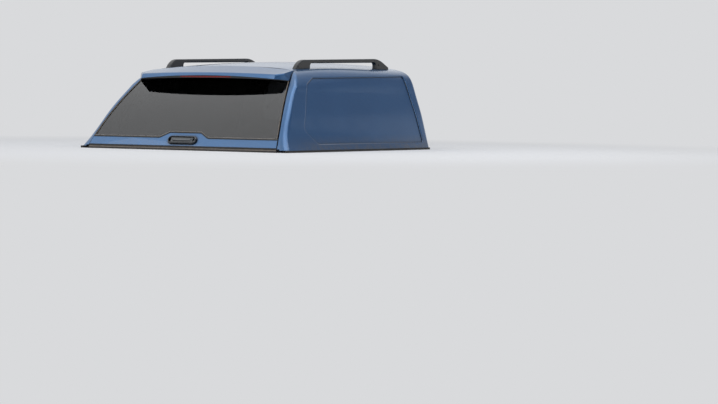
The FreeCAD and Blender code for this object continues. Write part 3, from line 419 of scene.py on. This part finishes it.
def make_black_steel():
    # Electro-coated steel: semi-gloss black over rolled sheet, greyer where it has been handled.
    material, tree, shader, place = new_material("electrocoated_black_steel")
    noise = node(tree, "TexNoise", {"Vector": place, "Scale": 1 / WEAR_PATCH, "Detail": 7})
    wear = node(tree, "MapRange", [noise, 0.5, 0.72, 0, 1])
    rolled = node(tree, "TexNoise", {"Vector": place, "Scale": 1 / ROLLED, "Detail": 3})
    feed(tree, shader, {
        "Base Color": node(tree, "Mix", [wear, "#141415", "#2a2a2c"], data_type="RGBA"),
        "Roughness": node(tree, "MapRange", [wear, 0, 1, 0.35, 0.5]),
        "Normal": node(tree, "Bump", {"Height": rolled, "Distance": ROLLED_DEPTH}), "Metallic": 0.2})
    return material


coat("hinge_arm_left", "hinge_arm_right", "hinge_bracket_left", "hinge_bracket_right", "strut_bracket_left",
     "strut_bracket_right", "door_strut_bracket_left", "door_strut_bracket_right", "strut_cylinder_left",
     "strut_cylinder_right", material=make_black_steel())

# %% [markdown]
# ## The plated steel
# The struts' rods are hard-chromed and polished, and the latch rods, strikers and screws are plated. All are
# bright metal, and only their roughness tells them from a mirror. An even roughness looks like plastic, so a
# noise that is drawn out along the canopy's length, as polishing marks are, changes the tone and the
# roughness together.

# %% Plated steel
POLISH, POLISH_STRETCH = 1.5 * MM, (1, 0.1, 1)


def make_plated_steel():
    # Hard-chromed or zinc-plated steel: bright and nearly smooth, with fine lengthways polish.
    material, tree, shader, place = new_material("plated_steel")
    drawn_out = node(tree, "Mapping", {"Vector": place, "Scale": POLISH_STRETCH})
    polish = node(tree, "TexNoise", {"Vector": drawn_out, "Scale": 1 / POLISH, "Detail": 4})
    feed(tree, shader, {
        "Base Color": node(tree, "Mix", [polish, "#b7babd", "#cfd2d4"], data_type="RGBA"),
        "Roughness": node(tree, "MapRange", [polish, 0.3, 0.7, 0.12, 0.26]), "Metallic": 1})
    return material


plated = make_plated_steel()
coat("strut_rod_left", "strut_rod_right", "latch_rod_left", "latch_rod_right", "striker_left",
     "striker_right", material=plated)

# %% [markdown]
# ## From a bmesh to a finished piece
# Every new piece is shaped as a bmesh, which is Blender's mesh for editing. It could get its place from its
# object, but here an object's place is always the middle of the floor, and the piece's place is in its mesh.
# So it stays right when other programs read it. The same function says which body carries it and which
# finish it takes.

# %% Finishing a piece
def piece_from(shape, name, body, material):
    """Turns a bmesh into a finished piece that rides on a body."""
    mesh = bpy.data.meshes.new(name)
    bmesh.ops.recalc_face_normals(shape, faces=shape.faces)
    for face in shape.faces:
        face.smooth = True
    shape.to_mesh(mesh)
    shape.free()
    mesh.materials.append(material)
    made = bpy.data.objects.new(name, mesh)
    bpy.context.scene.collection.objects.link(made)
    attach(made, body)
    print(name, len(mesh.polygons), "faces, on", body)


# %% [markdown]
# ## Where a small piece sits
# A screw has to sit on what carries it, and face straight out. Its place could be measured by eye, but then
# it floats or sinks a little. So a helper finds the nearest place on a node's surface, and the direction out
# of it. A screw is made once and copied to each place, in one mesh for each kind.

# %% A seat on a node, and copies at seats
def seat(node_name, point):
    """The nearest place on a node's surface, and the direction out of it."""
    shape = bmesh.new()
    shape.from_mesh(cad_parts[node_name].data)
    at, out = BVHTree.FromBMesh(shape).find_nearest(Vector(point))[:2]
    shape.free()
    return at, out


def copies(template, places):
    """One mesh with a copy of a small template at each (place, direction out)."""
    shape = bmesh.new()
    for at, out in places:
        first = len(shape.verts)
        shape.from_mesh(template)
        shape.verts.ensure_lookup_table()
        turn = Vector((0, 0, 1)).rotation_difference(out).to_matrix().to_4x4()
        bmesh.ops.transform(shape, matrix=Matrix.Translation(at) @ turn, verts=shape.verts[first:])
    return shape


# %% [markdown]
# ## A screw head and a plug
# A button screw has a low round head with a socket in its middle, and a plug is a wider head without one. A
# sphere cut in half would do from far away. A short cylinder with a bevelled rim is nearer to the real head,
# and its top face, inset and pushed down, makes the socket as a punch does.

# %% Head templates
HEAD_SIDES, RIM_STEPS, RIM_SHARE, SOCKET_INSET, SOCKET_DEPTH = 24, 4, 0.6, 0.25, 0.55
BUTTON, SMALL_BUTTON, PLUG = (5 * MM, 3 * MM), (3 * MM, 2 * MM), (7 * MM, 2.5 * MM)


def highest_face(shape):
    """The face at the top, which is the flat of a head."""
    return max(shape.faces, key=lambda f: f.calc_center_median().z)


def screw_head(radius, height, socket=True):
    """A round head with a soft rim and, if asked, a socket; it stands on z = 0."""
    shape = bmesh.new()
    bmesh.ops.create_cone(shape, cap_ends=True, segments=HEAD_SIDES, radius1=radius, radius2=radius,
                          depth=height, matrix=Matrix.Translation((0, 0, height / 2)))
    bmesh.ops.bevel(shape, geom=highest_face(shape).edges[:], offset=RIM_SHARE * height, segments=RIM_STEPS,
                    profile=0.5, affect="EDGES", material=-1)
    if socket:
        top = highest_face(shape)
        bmesh.ops.inset_region(shape, faces=[top], thickness=SOCKET_INSET * radius, use_even_offset=True)
        walls = bmesh.ops.extrude_face_region(shape, geom=[top])
        lower = [v for v in walls["geom"] if isinstance(v, bmesh.types.BMVert)]
        bmesh.ops.translate(shape, verts=lower, vec=(0, 0, -SOCKET_DEPTH * height))
        bmesh.ops.delete(shape, geom=[top], context="FACES")
    mesh = bpy.data.meshes.new("screw_template")
    shape.to_mesh(mesh)
    shape.free()
    return mesh


button, small_button = screw_head(*BUTTON), screw_head(*SMALL_BUTTON)
plug = screw_head(*PLUG, socket=False)
print("faces of a screw head", len(button.polygons), "and of a plug", len(plug.polygons))

# %% [markdown]
# ## Plugs on the rail feet
# Each rail foot is bolted down, and a round plug closes the bolt's hole. The plug could be one with the
# foot, but it is a separate moulding with a rim of its own that catches the light. So it is a copy of the
# plain head, seated from a point just outside the foot.

# %% Rail foot plugs
SIDES = ((-1, "left"), (1, "right"))
PLUG_PLACES = (("rear", -0.300, 0.508), ("front", 0.590, 0.530))
BESIDE = 10 * MM


def edge_x(node_name, side):
    """The x of a node's left or right end."""
    low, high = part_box(node_name)
    return high[0] if side > 0 else low[0]


foot_plugs = []
for side, name in SIDES:
    for end, y, z in PLUG_PLACES:
        foot = f"rail_foot_{end}_{name}"
        foot_plugs.append(seat(foot, (edge_x(foot, side) + side * BESIDE, y, z)))
piece_from(copies(plug, foot_plugs), "rail_foot_plugs", "canopy", nylon)
print("rail foot plugs:", len(foot_plugs))

# %% [markdown]
# ## Hinge pins and strut nuts
# The door turns on pins whose ends are riveted over, and the struts snap onto ball studs that are nutted to
# their plates. Both lie across the canopy, so their heads face along X, and their places come from the CAD's
# axes: the bracket's box gives x, and the axis gives y and z.

# %% Pin heads and stud nuts
HINGE_Y, HINGE_Z = -0.323, 0.470
STUD_Y, STUD_Z = -0.325, 0.410


def along_x(x, y, z, side):
    """A place, and the direction along X that a head there faces."""
    return Vector((x, y, z)), Vector((side, 0, 0))


pin_heads, stud_nuts = [], []
for side, name in SIDES:
    for end in (-1, 1):
        pin_heads.append(along_x(edge_x(f"hinge_bracket_{name}", end), HINGE_Y, HINGE_Z, end))
    stud_nuts.append(along_x(edge_x(f"strut_bracket_{name}", side), STUD_Y, STUD_Z, side))
piece_from(copies(button, pin_heads), "hinge_pin_heads", "canopy", plated)
piece_from(copies(button, stud_nuts), "strut_stud_nuts", "canopy", plated)
print("pin heads:", len(pin_heads), "stud nuts:", len(stud_nuts))

# %% [markdown]
# ## The rear surface
# Seen from the side, the door and its frame follow one big arc, and the door narrows towards its top. New
# pieces on the door have to follow both. They could be pressed onto the CAD mesh, but its facets would show
# in them. So two small functions give the arc and the width, with the CAD's own sizes.

# %% The arc and the door's width
ARC_RADIUS, ARC_Y, ARC_Z = 1.683, 0.615, -0.854
DOOR_WIDTHS = ((0.026, 0.683), (0.230, 0.6235), (0.480, 0.518))


def arc_y(z, out=0.0):
    """The rear surface's place at a height, as in the CAD; out is measured away from the canopy."""
    return ARC_Y - math.sqrt((ARC_RADIUS + out) ** 2 - (z - ARC_Z) ** 2)


def door_half(z):
    """The door's half width at a height, on a parabola through three widths."""
    low, middle, top = DOOR_WIDTHS
    first = (middle[1] - low[1]) / (middle[0] - low[0])
    second = (top[1] - middle[1]) / (top[0] - middle[0])
    bend = (second - first) / (top[0] - low[0])
    return low[1] + first * (z - low[0]) + bend * (z - low[0]) * (z - middle[0])


print("door's half width at its foot and top", [round(door_half(z), 3) for z in (0.026, 0.480)])

# %% [markdown]
# ## Screws of the hinge feet and latches
# Each hinge arm ends in a foot that four screws hold to the glass, and two screws hold each latch. They are
# small buttons on the inside of the door, and ride with it. Their places are spread evenly, and the seat
# helper finds the surface from a point on the canopy's side of the door.

# %% Door screws
HINGE_X, FOOT_Z, SCREW_STEP, INSIDE = 0.300, 0.400, 0.013, -0.02
LATCH_SHARES = (0.25, 0.75)

door_screws, latch_screws = [], []
for side, name in SIDES:
    for across in (-SCREW_STEP, SCREW_STEP):
        for z in (FOOT_Z - SCREW_STEP, FOOT_Z + SCREW_STEP):
            place = (side * HINGE_X + across, arc_y(z, INSIDE), z)
            door_screws.append(seat(f"hinge_arm_{name}", place))
    latch = f"latch_{name}"
    low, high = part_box(latch)
    for share in LATCH_SHARES:
        z = low[2] + share * (high[2] - low[2])
        latch_screws.append(seat(latch, (edge_x(latch, -side) - side * BESIDE, (low[1] + high[1]) / 2, z)))
piece_from(copies(small_button, door_screws), "hinge_foot_screws", "door", plated)
piece_from(copies(small_button, latch_screws), "latch_screws", "door", plated)
print("hinge foot screws:", len(door_screws), "latch screws:", len(latch_screws))

# %% [markdown]
# ## The rubber lips under the door
# At its lower edge the door closes on a wide extruded rubber with two rounded lips and a groove between
# them. The profile could be drawn and swept, but the rear surface is curved only in side view, so a lip is a
# straight bar across the door: a cylinder from one operator, laid along X and flattened a little.

# %% Bottom lips
LIP_HEIGHTS, LIP_RADIUS, LIP_HALF, LIP_FLAT, LIP_SIDES = (0.0205, 0.0050), 4.5 * MM, 0.682, 0.8, 20

lips = bmesh.new()
for lip_z in LIP_HEIGHTS:
    first = len(lips.verts)
    bmesh.ops.create_cone(lips, cap_ends=True, segments=LIP_SIDES, radius1=LIP_RADIUS, radius2=LIP_RADIUS,
                          depth=2 * LIP_HALF, matrix=Matrix.Rotation(math.pi / 2, 4, "Y"))
    lips.verts.ensure_lookup_table()
    bar = lips.verts[first:]
    bmesh.ops.scale(lips, vec=(1, LIP_FLAT, 1), verts=bar)
    bmesh.ops.translate(lips, vec=(0, arc_y(lip_z), lip_z), verts=bar)
piece_from(lips, "door_bottom_lips", "door", rubber)
print("lips:", len(LIP_HEIGHTS))

# %% [markdown]
# ## Beads round the glass
# A rubber bead hides the glued joint between the glass and the painted panel, and another runs up each side
# of the glass. A bead is a line with a round section. Rings of vertices could be bridged along it, but a
# curve with a bevel makes the same mesh from the line alone.

# %% A bead along a line
BEAD_RADIUS, BEAD_ROUNDNESS = 2.8 * MM, 3


def make_beads(lines, name, material, out):
    """Round beads on the rear surface; a line is a row of (x, z) places, and out is how proud it lies."""
    curve = bpy.data.curves.new("bead_route", "CURVE")
    curve.dimensions, curve.use_fill_caps = "3D", True
    curve.bevel_depth, curve.bevel_resolution = BEAD_RADIUS, BEAD_ROUNDNESS
    for line in lines:
        spline = curve.splines.new("POLY")
        spline.points.add(len(line) - 1)
        for point, (x, z) in zip(spline.points, line):
            point.co = (x, arc_y(z, out), z, 1)
    holder = bpy.data.objects.new("bead_route", curve)
    bpy.context.scene.collection.objects.link(holder)
    shape = bmesh.new()
    shape.from_mesh(bpy.data.meshes.new_from_object(holder))
    bpy.data.objects.remove(holder)
    piece_from(shape, name, "door", material)


# %% [markdown]
# ## The panel's bead and the side beads
# The painted panel rises in a hump over the handle, and its bead follows that edge. The line could be typed
# point by point, but it is simpler to give its corners and let a bevel on the vertices round them. The bead
# has a pale lip that lies on the glass, and part of its light tone is a painted highlight. It also has a
# dark foot on the panel's edge, and the foot's dark line is painted shade under the lip. So the same line is
# used twice, a little apart.

# %% The line over the hump
PANEL_TOP, HUMP_TOP, HUMP_WIDE, HUMP_NARROW, HUMP_ROUND = 0.075, 0.105, 0.175, 0.115, 0.028
END_GAP, ROUND_STEPS = 2 * MM, 6


def panel_line(rise):
    """The panel's upper edge as (x, z) places from left to right, moved up by rise."""
    line = bmesh.new()
    end = door_half(PANEL_TOP) - END_GAP
    corners = [(-end, PANEL_TOP), (-HUMP_WIDE, PANEL_TOP), (-HUMP_NARROW, HUMP_TOP), (HUMP_NARROW, HUMP_TOP),
               (HUMP_WIDE, PANEL_TOP), (end, PANEL_TOP)]
    points = [line.verts.new((x, 0, z)) for x, z in corners]
    for a, b in zip(points, points[1:]):
        line.edges.new((a, b))
    run = HUMP_ROUND * math.tan(math.atan2(HUMP_TOP - PANEL_TOP, HUMP_WIDE - HUMP_NARROW) / 2)
    bmesh.ops.bevel(line, geom=points[1:-1], offset=run, segments=ROUND_STEPS, profile=0.5,
                    affect="VERTICES", material=-1)
    route = sorted((v.co.x, v.co.z + rise) for v in line.verts)
    line.free()
    return route


# %% The beads
SIDE_STEPS, SIDE_LOW, SIDE_HIGH, SIDE_INSET = 10, 0.082, 0.415, 5 * MM
LIP_RISE, FOOT_RISE, LIP_OUT, FOOT_OUT = 3.6 * MM, -1.5 * MM, 2.4 * MM, 3.2 * MM


def side_line(side):
    """A line up one side of the glass."""
    heights = [SIDE_LOW + (SIDE_HIGH - SIDE_LOW) * i / SIDE_STEPS for i in range(SIDE_STEPS + 1)]
    return [(side * (door_half(z) - SIDE_INSET), z) for z in heights]


make_beads([panel_line(LIP_RISE)], "panel_bead", pale_rubber_painted_highlight, LIP_OUT)
# The dark foot lies where the thin shadow under the pale lip falls: its dark line is painted shade.
make_beads([panel_line(FOOT_RISE)], "panel_bead_painted_shade_foot", rubber, FOOT_OUT)
make_beads([side_line(-1), side_line(1)], "glass_side_beads", weathered_rubber, LIP_OUT)
print("places along the panel's bead:", len(panel_line(0)))

# %% [markdown]
# ## The crown of the handle
# The handle is cast with a rounded face, so its upper half mirrors the light above and its lower half the
# floor. A flattened sphere would be too thin at its ends. So the crown starts as a circle that is stretched
# to the handle's outline, and is inset again and again: each rim is smaller and higher, and the steps follow
# an arc.

# %% A cap with an arc for a section
CAP_LENGTH, CAP_HEIGHT, CAP_RISE, CAP_STEPS, CAP_SIDES = 142 * MM, 25 * MM, 5 * MM, 7, 48


def crowned_cap():
    """A closed cap in the plane of X and Y, with its crown up."""
    cap = bmesh.new()
    bmesh.ops.create_circle(cap, cap_ends=True, segments=CAP_SIDES, radius=CAP_HEIGHT / 2)
    for v in cap.verts:
        v.co.x += math.copysign((CAP_LENGTH - CAP_HEIGHT) / 2, v.co.x) if abs(v.co.x) > 0.001 * MM else 0
    top = cap.faces[:]
    for step in range(CAP_STEPS):
        low, high = (math.pi / 2 * (step + k) / (CAP_STEPS + 1) for k in (0, 1))
        width = (math.cos(low) - math.cos(high)) * CAP_HEIGHT / 2
        rise = (math.sin(high) - math.sin(low)) * CAP_RISE
        bmesh.ops.inset_region(cap, faces=top, thickness=width, depth=rise, use_boundary=True,
                               use_even_offset=True)
    bmesh.ops.holes_fill(cap, edges=[e for e in cap.edges if e.is_boundary], sides=0)
    return cap


# %% The crown on its paddle
SUNK, CLEAR = 0.3 * MM, 30 * MM


def make_pull_crown():
    cap = crowned_cap()
    low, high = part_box("handle_paddle")
    middle = (low + high) / 2
    away = (middle - Vector((0, ARC_Y, ARC_Z))).normalized()
    at, out = seat("handle_paddle", middle + CLEAR * away)
    across = Vector((1, 0, 0))
    turn = Matrix((across, out.cross(across), out)).transposed().to_4x4()
    bmesh.ops.transform(cap, matrix=Matrix.Translation(at - SUNK * out) @ turn, verts=cap.verts)
    piece_from(cap, "pull_crown", "handle", black_chrome)
    print("crown at", [round(c, 4) for c in at], "facing", [round(c, 3) for c in out])


make_pull_crown()

# %% [markdown]
# ## The felt
# Inside, such a canopy is lined with grey needle felt: polyester fibres that barbed needles have tangled
# into a mat. Single hairs could be grown on it, but they would be far too many for a lining that is seldom
# seen. A fine noise stands for the fibres, in the colour and as relief, and a sheen adds the pale edge that
# fibres give cloth.

# %% Needle felt
FIBRE, FIBRE_DEPTH, FELT_PATCH = 1.5 * MM, 0.4 * MM, 90 * MM


def make_felt():
    # Needle-punched polyester: a matt grey mat of tangled fibres, with a soft sheen at glancing light.
    material, tree, shader, place = new_material("grey_needle_felt")
    fibre = node(tree, "TexNoise", {"Vector": place, "Scale": 1 / FIBRE, "Detail": 8})
    cloud = node(tree, "TexNoise", {"Vector": place, "Scale": 1 / FELT_PATCH, "Detail": 4})
    paler = node(tree, "MapRange", [fibre, 0.35, 0.65, 0, 1])
    grey = node(tree, "Mix", [paler, "#4a4b4d", "#67686a"], data_type="RGBA")
    darker = node(tree, "MapRange", [cloud, 0.35, 0.7, 0, 0.35])
    feed(tree, shader, {
        "Base Color": node(tree, "Mix", [darker, grey, "#3f4042"], data_type="RGBA"),
        "Normal": node(tree, "Bump", {"Height": fibre, "Distance": FIBRE_DEPTH}),
        "Roughness": 0.95, "Sheen Weight": 0.4, "Sheen Roughness": 0.5})
    return material


# %% [markdown]
# ## The lining
# The felt is glued straight onto the fibreglass, so it has the shell's own inner form. It could be modelled
# again from sheets, but a merged copy of the shell's mesh already has that form. The faces that look inwards
# and have the outer wall behind them are kept, moved off the wall by the glue's thickness, and given the
# felt's thickness.

# %% Which faces are lined
SEAM_Y, SEAM_MARGIN, DOOR_FRAME_DEPTH, LINING_LOW, FRONT_WALL = -0.394, 0.02, 0.030, 0.025, 0.0045
ROOM_MIDDLE, OFF_FACE = Vector((0, 0, 0.2)), 0.5 * MM


def is_lined(face, walls, front_inner):
    """True for a face of the inside, clear of the door's frame, the flange and the front wall's edge."""
    at = face.calc_center_median()
    off_frame = math.hypot(at.y - ARC_Y, at.z - ARC_Z) < ARC_RADIUS - DOOR_FRAME_DEPTH
    if not (at.y > SEAM_Y + SEAM_MARGIN or off_frame) or at.z <= LINING_LOW or at.y >= front_inner:
        return False
    if face.normal.dot(ROOM_MIDDLE - at) <= 0:
        return False
    outwards = Vector((math.copysign(1, at.x), 0, 0))
    return walls.ray_cast(at + OFF_FACE * face.normal, outwards)[0] is not None


# %% Lining cut from a copy of the shell
GLUE, FELT, WELD = 0.4 * MM, 1.8 * MM, 0.01 * MM


def make_lining():
    shape = bmesh.new()
    shape.from_mesh(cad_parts["shell"].data)
    bmesh.ops.remove_doubles(shape, verts=shape.verts, dist=WELD)
    walls = BVHTree.FromBMesh(shape)
    front_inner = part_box("shell")[1][1] - FRONT_WALL
    bare = [f for f in shape.faces if not is_lined(f, walls, front_inner)]
    bmesh.ops.delete(shape, geom=bare, context="FACES")
    shape.normal_update()
    for vert in shape.verts:
        vert.co += vert.normal * (GLUE + FELT)
    bmesh.ops.solidify(shape, geom=shape.faces[:], thickness=-FELT)
    piece_from(shape, "felt_lining", "canopy", make_felt())


make_lining()

# %% [markdown]
# ## Rays that are seen
# The floor and the backdrop should be one pale tone, with no horizon line across the picture. More light
# would bleach the object too. Instead, only the rays that are seen find the plain tone: those from the
# camera, and those in a reflection or through glass. All other rays find the real floor and a soft light.

# %% A share for seen rays
BACKDROP = "#d9dadc"


def seen_rays(tree):
    """1 for rays that are seen: straight, in a reflection, or through glass."""
    rays = node(tree, "LightPath").outputs
    seen = node(tree, "Math", [rays["Is Camera Ray"], rays["Is Glossy Ray"]], operation="MAXIMUM")
    return node(tree, "Math", [seen, rays["Is Transmission Ray"]], operation="MAXIMUM")


# %% [markdown]
# ## The floor
# A studio floor is matt and pale, and shows the object's shadow. A curved sheet could hide the horizon, but
# it shows in views from other sides. So the floor is one huge plane: near the canopy it is a real surface
# that keeps the shadow, and further out it fades into the backdrop's tone.

# %% Floor
FLOOR_HALF, FADE_START, FADE_END, FLOOR_PATCH = 60.0, 1.7, 4.2, 0.8


def make_floor_material():
    # Matt painted floor: an even pale grey with hardly any shine.
    material, tree, shader, place = new_material("matt_pale_floor")
    cloud = node(tree, "TexNoise", {"Vector": place, "Scale": 1 / FLOOR_PATCH, "Detail": 2})
    pale = node(tree, "Mix", [cloud, "#d8d9db", "#dadbdd"], data_type="RGBA")
    feed(tree, shader, {"Base Color": pale, "Roughness": 0.95})
    from_middle = node(tree, "VectorMath", [place], operation="LENGTH").outputs["Value"]
    far = node(tree, "MapRange", [from_middle, FADE_START, FADE_END, 0, 1], interpolation_type="SMOOTHSTEP")
    share = node(tree, "Math", [far, seen_rays(tree)], operation="MULTIPLY")
    glow = node(tree, "Emission", {"Color": BACKDROP, "Strength": 1})
    ending = next(n for n in tree.nodes if n.type == "OUTPUT_MATERIAL")
    feed(tree, ending, {"Surface": node(tree, "MixShader", [share, shader, glow])})
    return material


mesh = bpy.data.meshes.new("floor")
shape = bmesh.new()
bmesh.ops.create_grid(shape, x_segments=1, y_segments=1, size=FLOOR_HALF)
shape.to_mesh(mesh)
shape.free()
mesh.materials.append(make_floor_material())
floor = bpy.data.objects.new("floor", mesh)
bpy.context.scene.collection.objects.link(floor)
floor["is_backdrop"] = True
print("floor", 2 * FLOOR_HALF, "m wide, a real surface out to", FADE_START, "m")

# %% [markdown]
# ## The surroundings
# Polished paint and dark glass look like what stands round them. One even tone all round makes them look
# flat, and a picture of a real place would bring in things that don't belong. So the seen rays find three
# tones by their direction: the backdrop at eye level, a lighter one just above it, and a deeper blue-grey
# high on the right side, which gives the glass and the right side their depth. The light itself is soft and
# even.

# %% World
AIR_LIGHT, AIR_TONE, LIGHT_TONE, DEEP_TONE = 0.42, "#f4f6fa", "#f0f2f5", "#7f8fa6"
LIGHT_FROM, LIGHT_TO, DEEP_FROM, DEEP_TO, RIGHT_FROM, RIGHT_TO = 0.09, 0.15, 0.19, 0.33, -0.2, 0.3


def make_world():
    world = bpy.data.worlds.new("pale_studio")
    bpy.context.scene.world = world
    world.use_nodes = True
    tree = world.node_tree
    tree.nodes.clear()
    soft = node(tree, "Background", {"Color": AIR_TONE, "Strength": AIR_LIGHT})
    way = node(tree, "TexCoord").outputs["Generated"]
    parts = node(tree, "SeparateXYZ", [way]).outputs
    higher = node(tree, "MapRange", [parts["Z"], LIGHT_FROM, LIGHT_TO, 0, 1])
    above = node(tree, "MapRange", [parts["Z"], DEEP_FROM, DEEP_TO, 0, 1])
    to_right = node(tree, "MapRange", [parts["X"], RIGHT_FROM, RIGHT_TO, 0, 1])
    deep = node(tree, "Math", [above, to_right], operation="MULTIPLY")
    lower_tones = node(tree, "Mix", [higher, BACKDROP, LIGHT_TONE], data_type="RGBA")
    tone = node(tree, "Mix", [deep, lower_tones, DEEP_TONE], data_type="RGBA")
    seen = node(tree, "Background", {"Color": tone, "Strength": 1})
    node(tree, "OutputWorld", {"Surface": node(tree, "MixShader", [seen_rays(tree), soft, seen])})
    print("world", world.name, "with light", AIR_LIGHT)


make_world()

# %% [markdown]
# ## The lamps
# Small bright lamps leave hard spots in glass and lacquer. A studio hangs up cloth screens with lamps behind
# them instead, so these lamps are large and dim. The one overhead lights everything, and the one behind
# lights the door. The other two are far brighter than the backdrop: the one above the right side draws the
# light band down the rear pillar, and the low one behind the rear corner lights the pillar's foot and the
# rounded edges.

# %% Lamps
def screen(name, place, target, size, brightness):
    """A cloth screen lit from behind; brightness is its radiance, where the backdrop's is about 0.7."""
    data = bpy.data.lights.new(name, "AREA")
    data.shape = "RECTANGLE"
    data.size, data.size_y = size
    data.energy = brightness * math.pi * size[0] * size[1]
    made = bpy.data.objects.new(name, data)
    bpy.context.scene.collection.objects.link(made)
    made.visible_camera = False
    made.location = place
    made.rotation_euler = (Vector(target) - Vector(place)).to_track_quat("-Z", "Y").to_euler()
    print(name, size, "m, radiance", brightness)


MIDDLE, REAR_CORNER, RIGHT_SIDE = (0, 0, 0.3), (0.66, -0.6, 0.25), (0.7, 0.6, 0.3)
screen("overhead_screen", (-1.0, -1.0, 6.0), MIDDLE, (12.0, 12.0), 0.6)
screen("rear_screen", (-3.5, -5.5, 4.5), MIDDLE, (5.0, 3.0), 1.1)
screen("corner_screen", (2.4, 0.4, 4.2), REAR_CORNER, (3.4, 3.4), 2.1)
screen("low_rear_screen", (3.4, -6.2, 1.9), RIGHT_SIDE, (4.5, 2.4), 2.5)

# %% [markdown]
# ## The camera
# The photograph was taken from far behind the rear right corner, level with the canopy's upper half. A view
# like it could be found by eye, but the distance and the lens both change the size, and only the distance
# changes the perspective. So both come from a fit of straight lines of known size, which gives the focal
# length in the photograph's own pixels.

# %% Camera
IMAGE_WIDTH, SENSOR, FOCAL_PIXELS, SIGHT = 718, 36.0, 2497.9, 200
CAMERA_PLACE, CAMERA_TURN = (8.7723, -12.7848, 0.3529), (87.4958, -0.6887, 32.1832)

camera_data = bpy.data.cameras.new("camera")
camera_data.sensor_width = SENSOR
camera_data.lens = FOCAL_PIXELS * SENSOR / IMAGE_WIDTH
camera_data.clip_end = SIGHT
camera = bpy.data.objects.new("camera", camera_data)
bpy.context.scene.collection.objects.link(camera)
camera.location = CAMERA_PLACE
camera.rotation_euler = [math.radians(a) for a in CAMERA_TURN]
bpy.context.scene.camera = camera
print("lens", round(camera_data.lens, 1), "mm, distance", round(camera.location.length, 2), "m")

# %% [markdown]
# ## Colours on the screen
# A renderer can bend its light like film, with soft highlights, or show it as it is. Film looks pleasant but
# shifts every colour, so the plain standard view is used, in which a colour renders about as it is written.

# %% View
bpy.context.scene.view_settings.view_transform = "Standard"
print("view", bpy.context.scene.view_settings.view_transform)

# %% [markdown]
# ## Sizes and the last line
# The finished model must not outgrow the CAD model. The two boxes could be compared by eye, but a millimetre
# doesn't show. So the finished model's box is printed as numbers.

# %% Sizes
low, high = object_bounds()
print("visual box", [round(v, 3) for v in (*low, *high)])
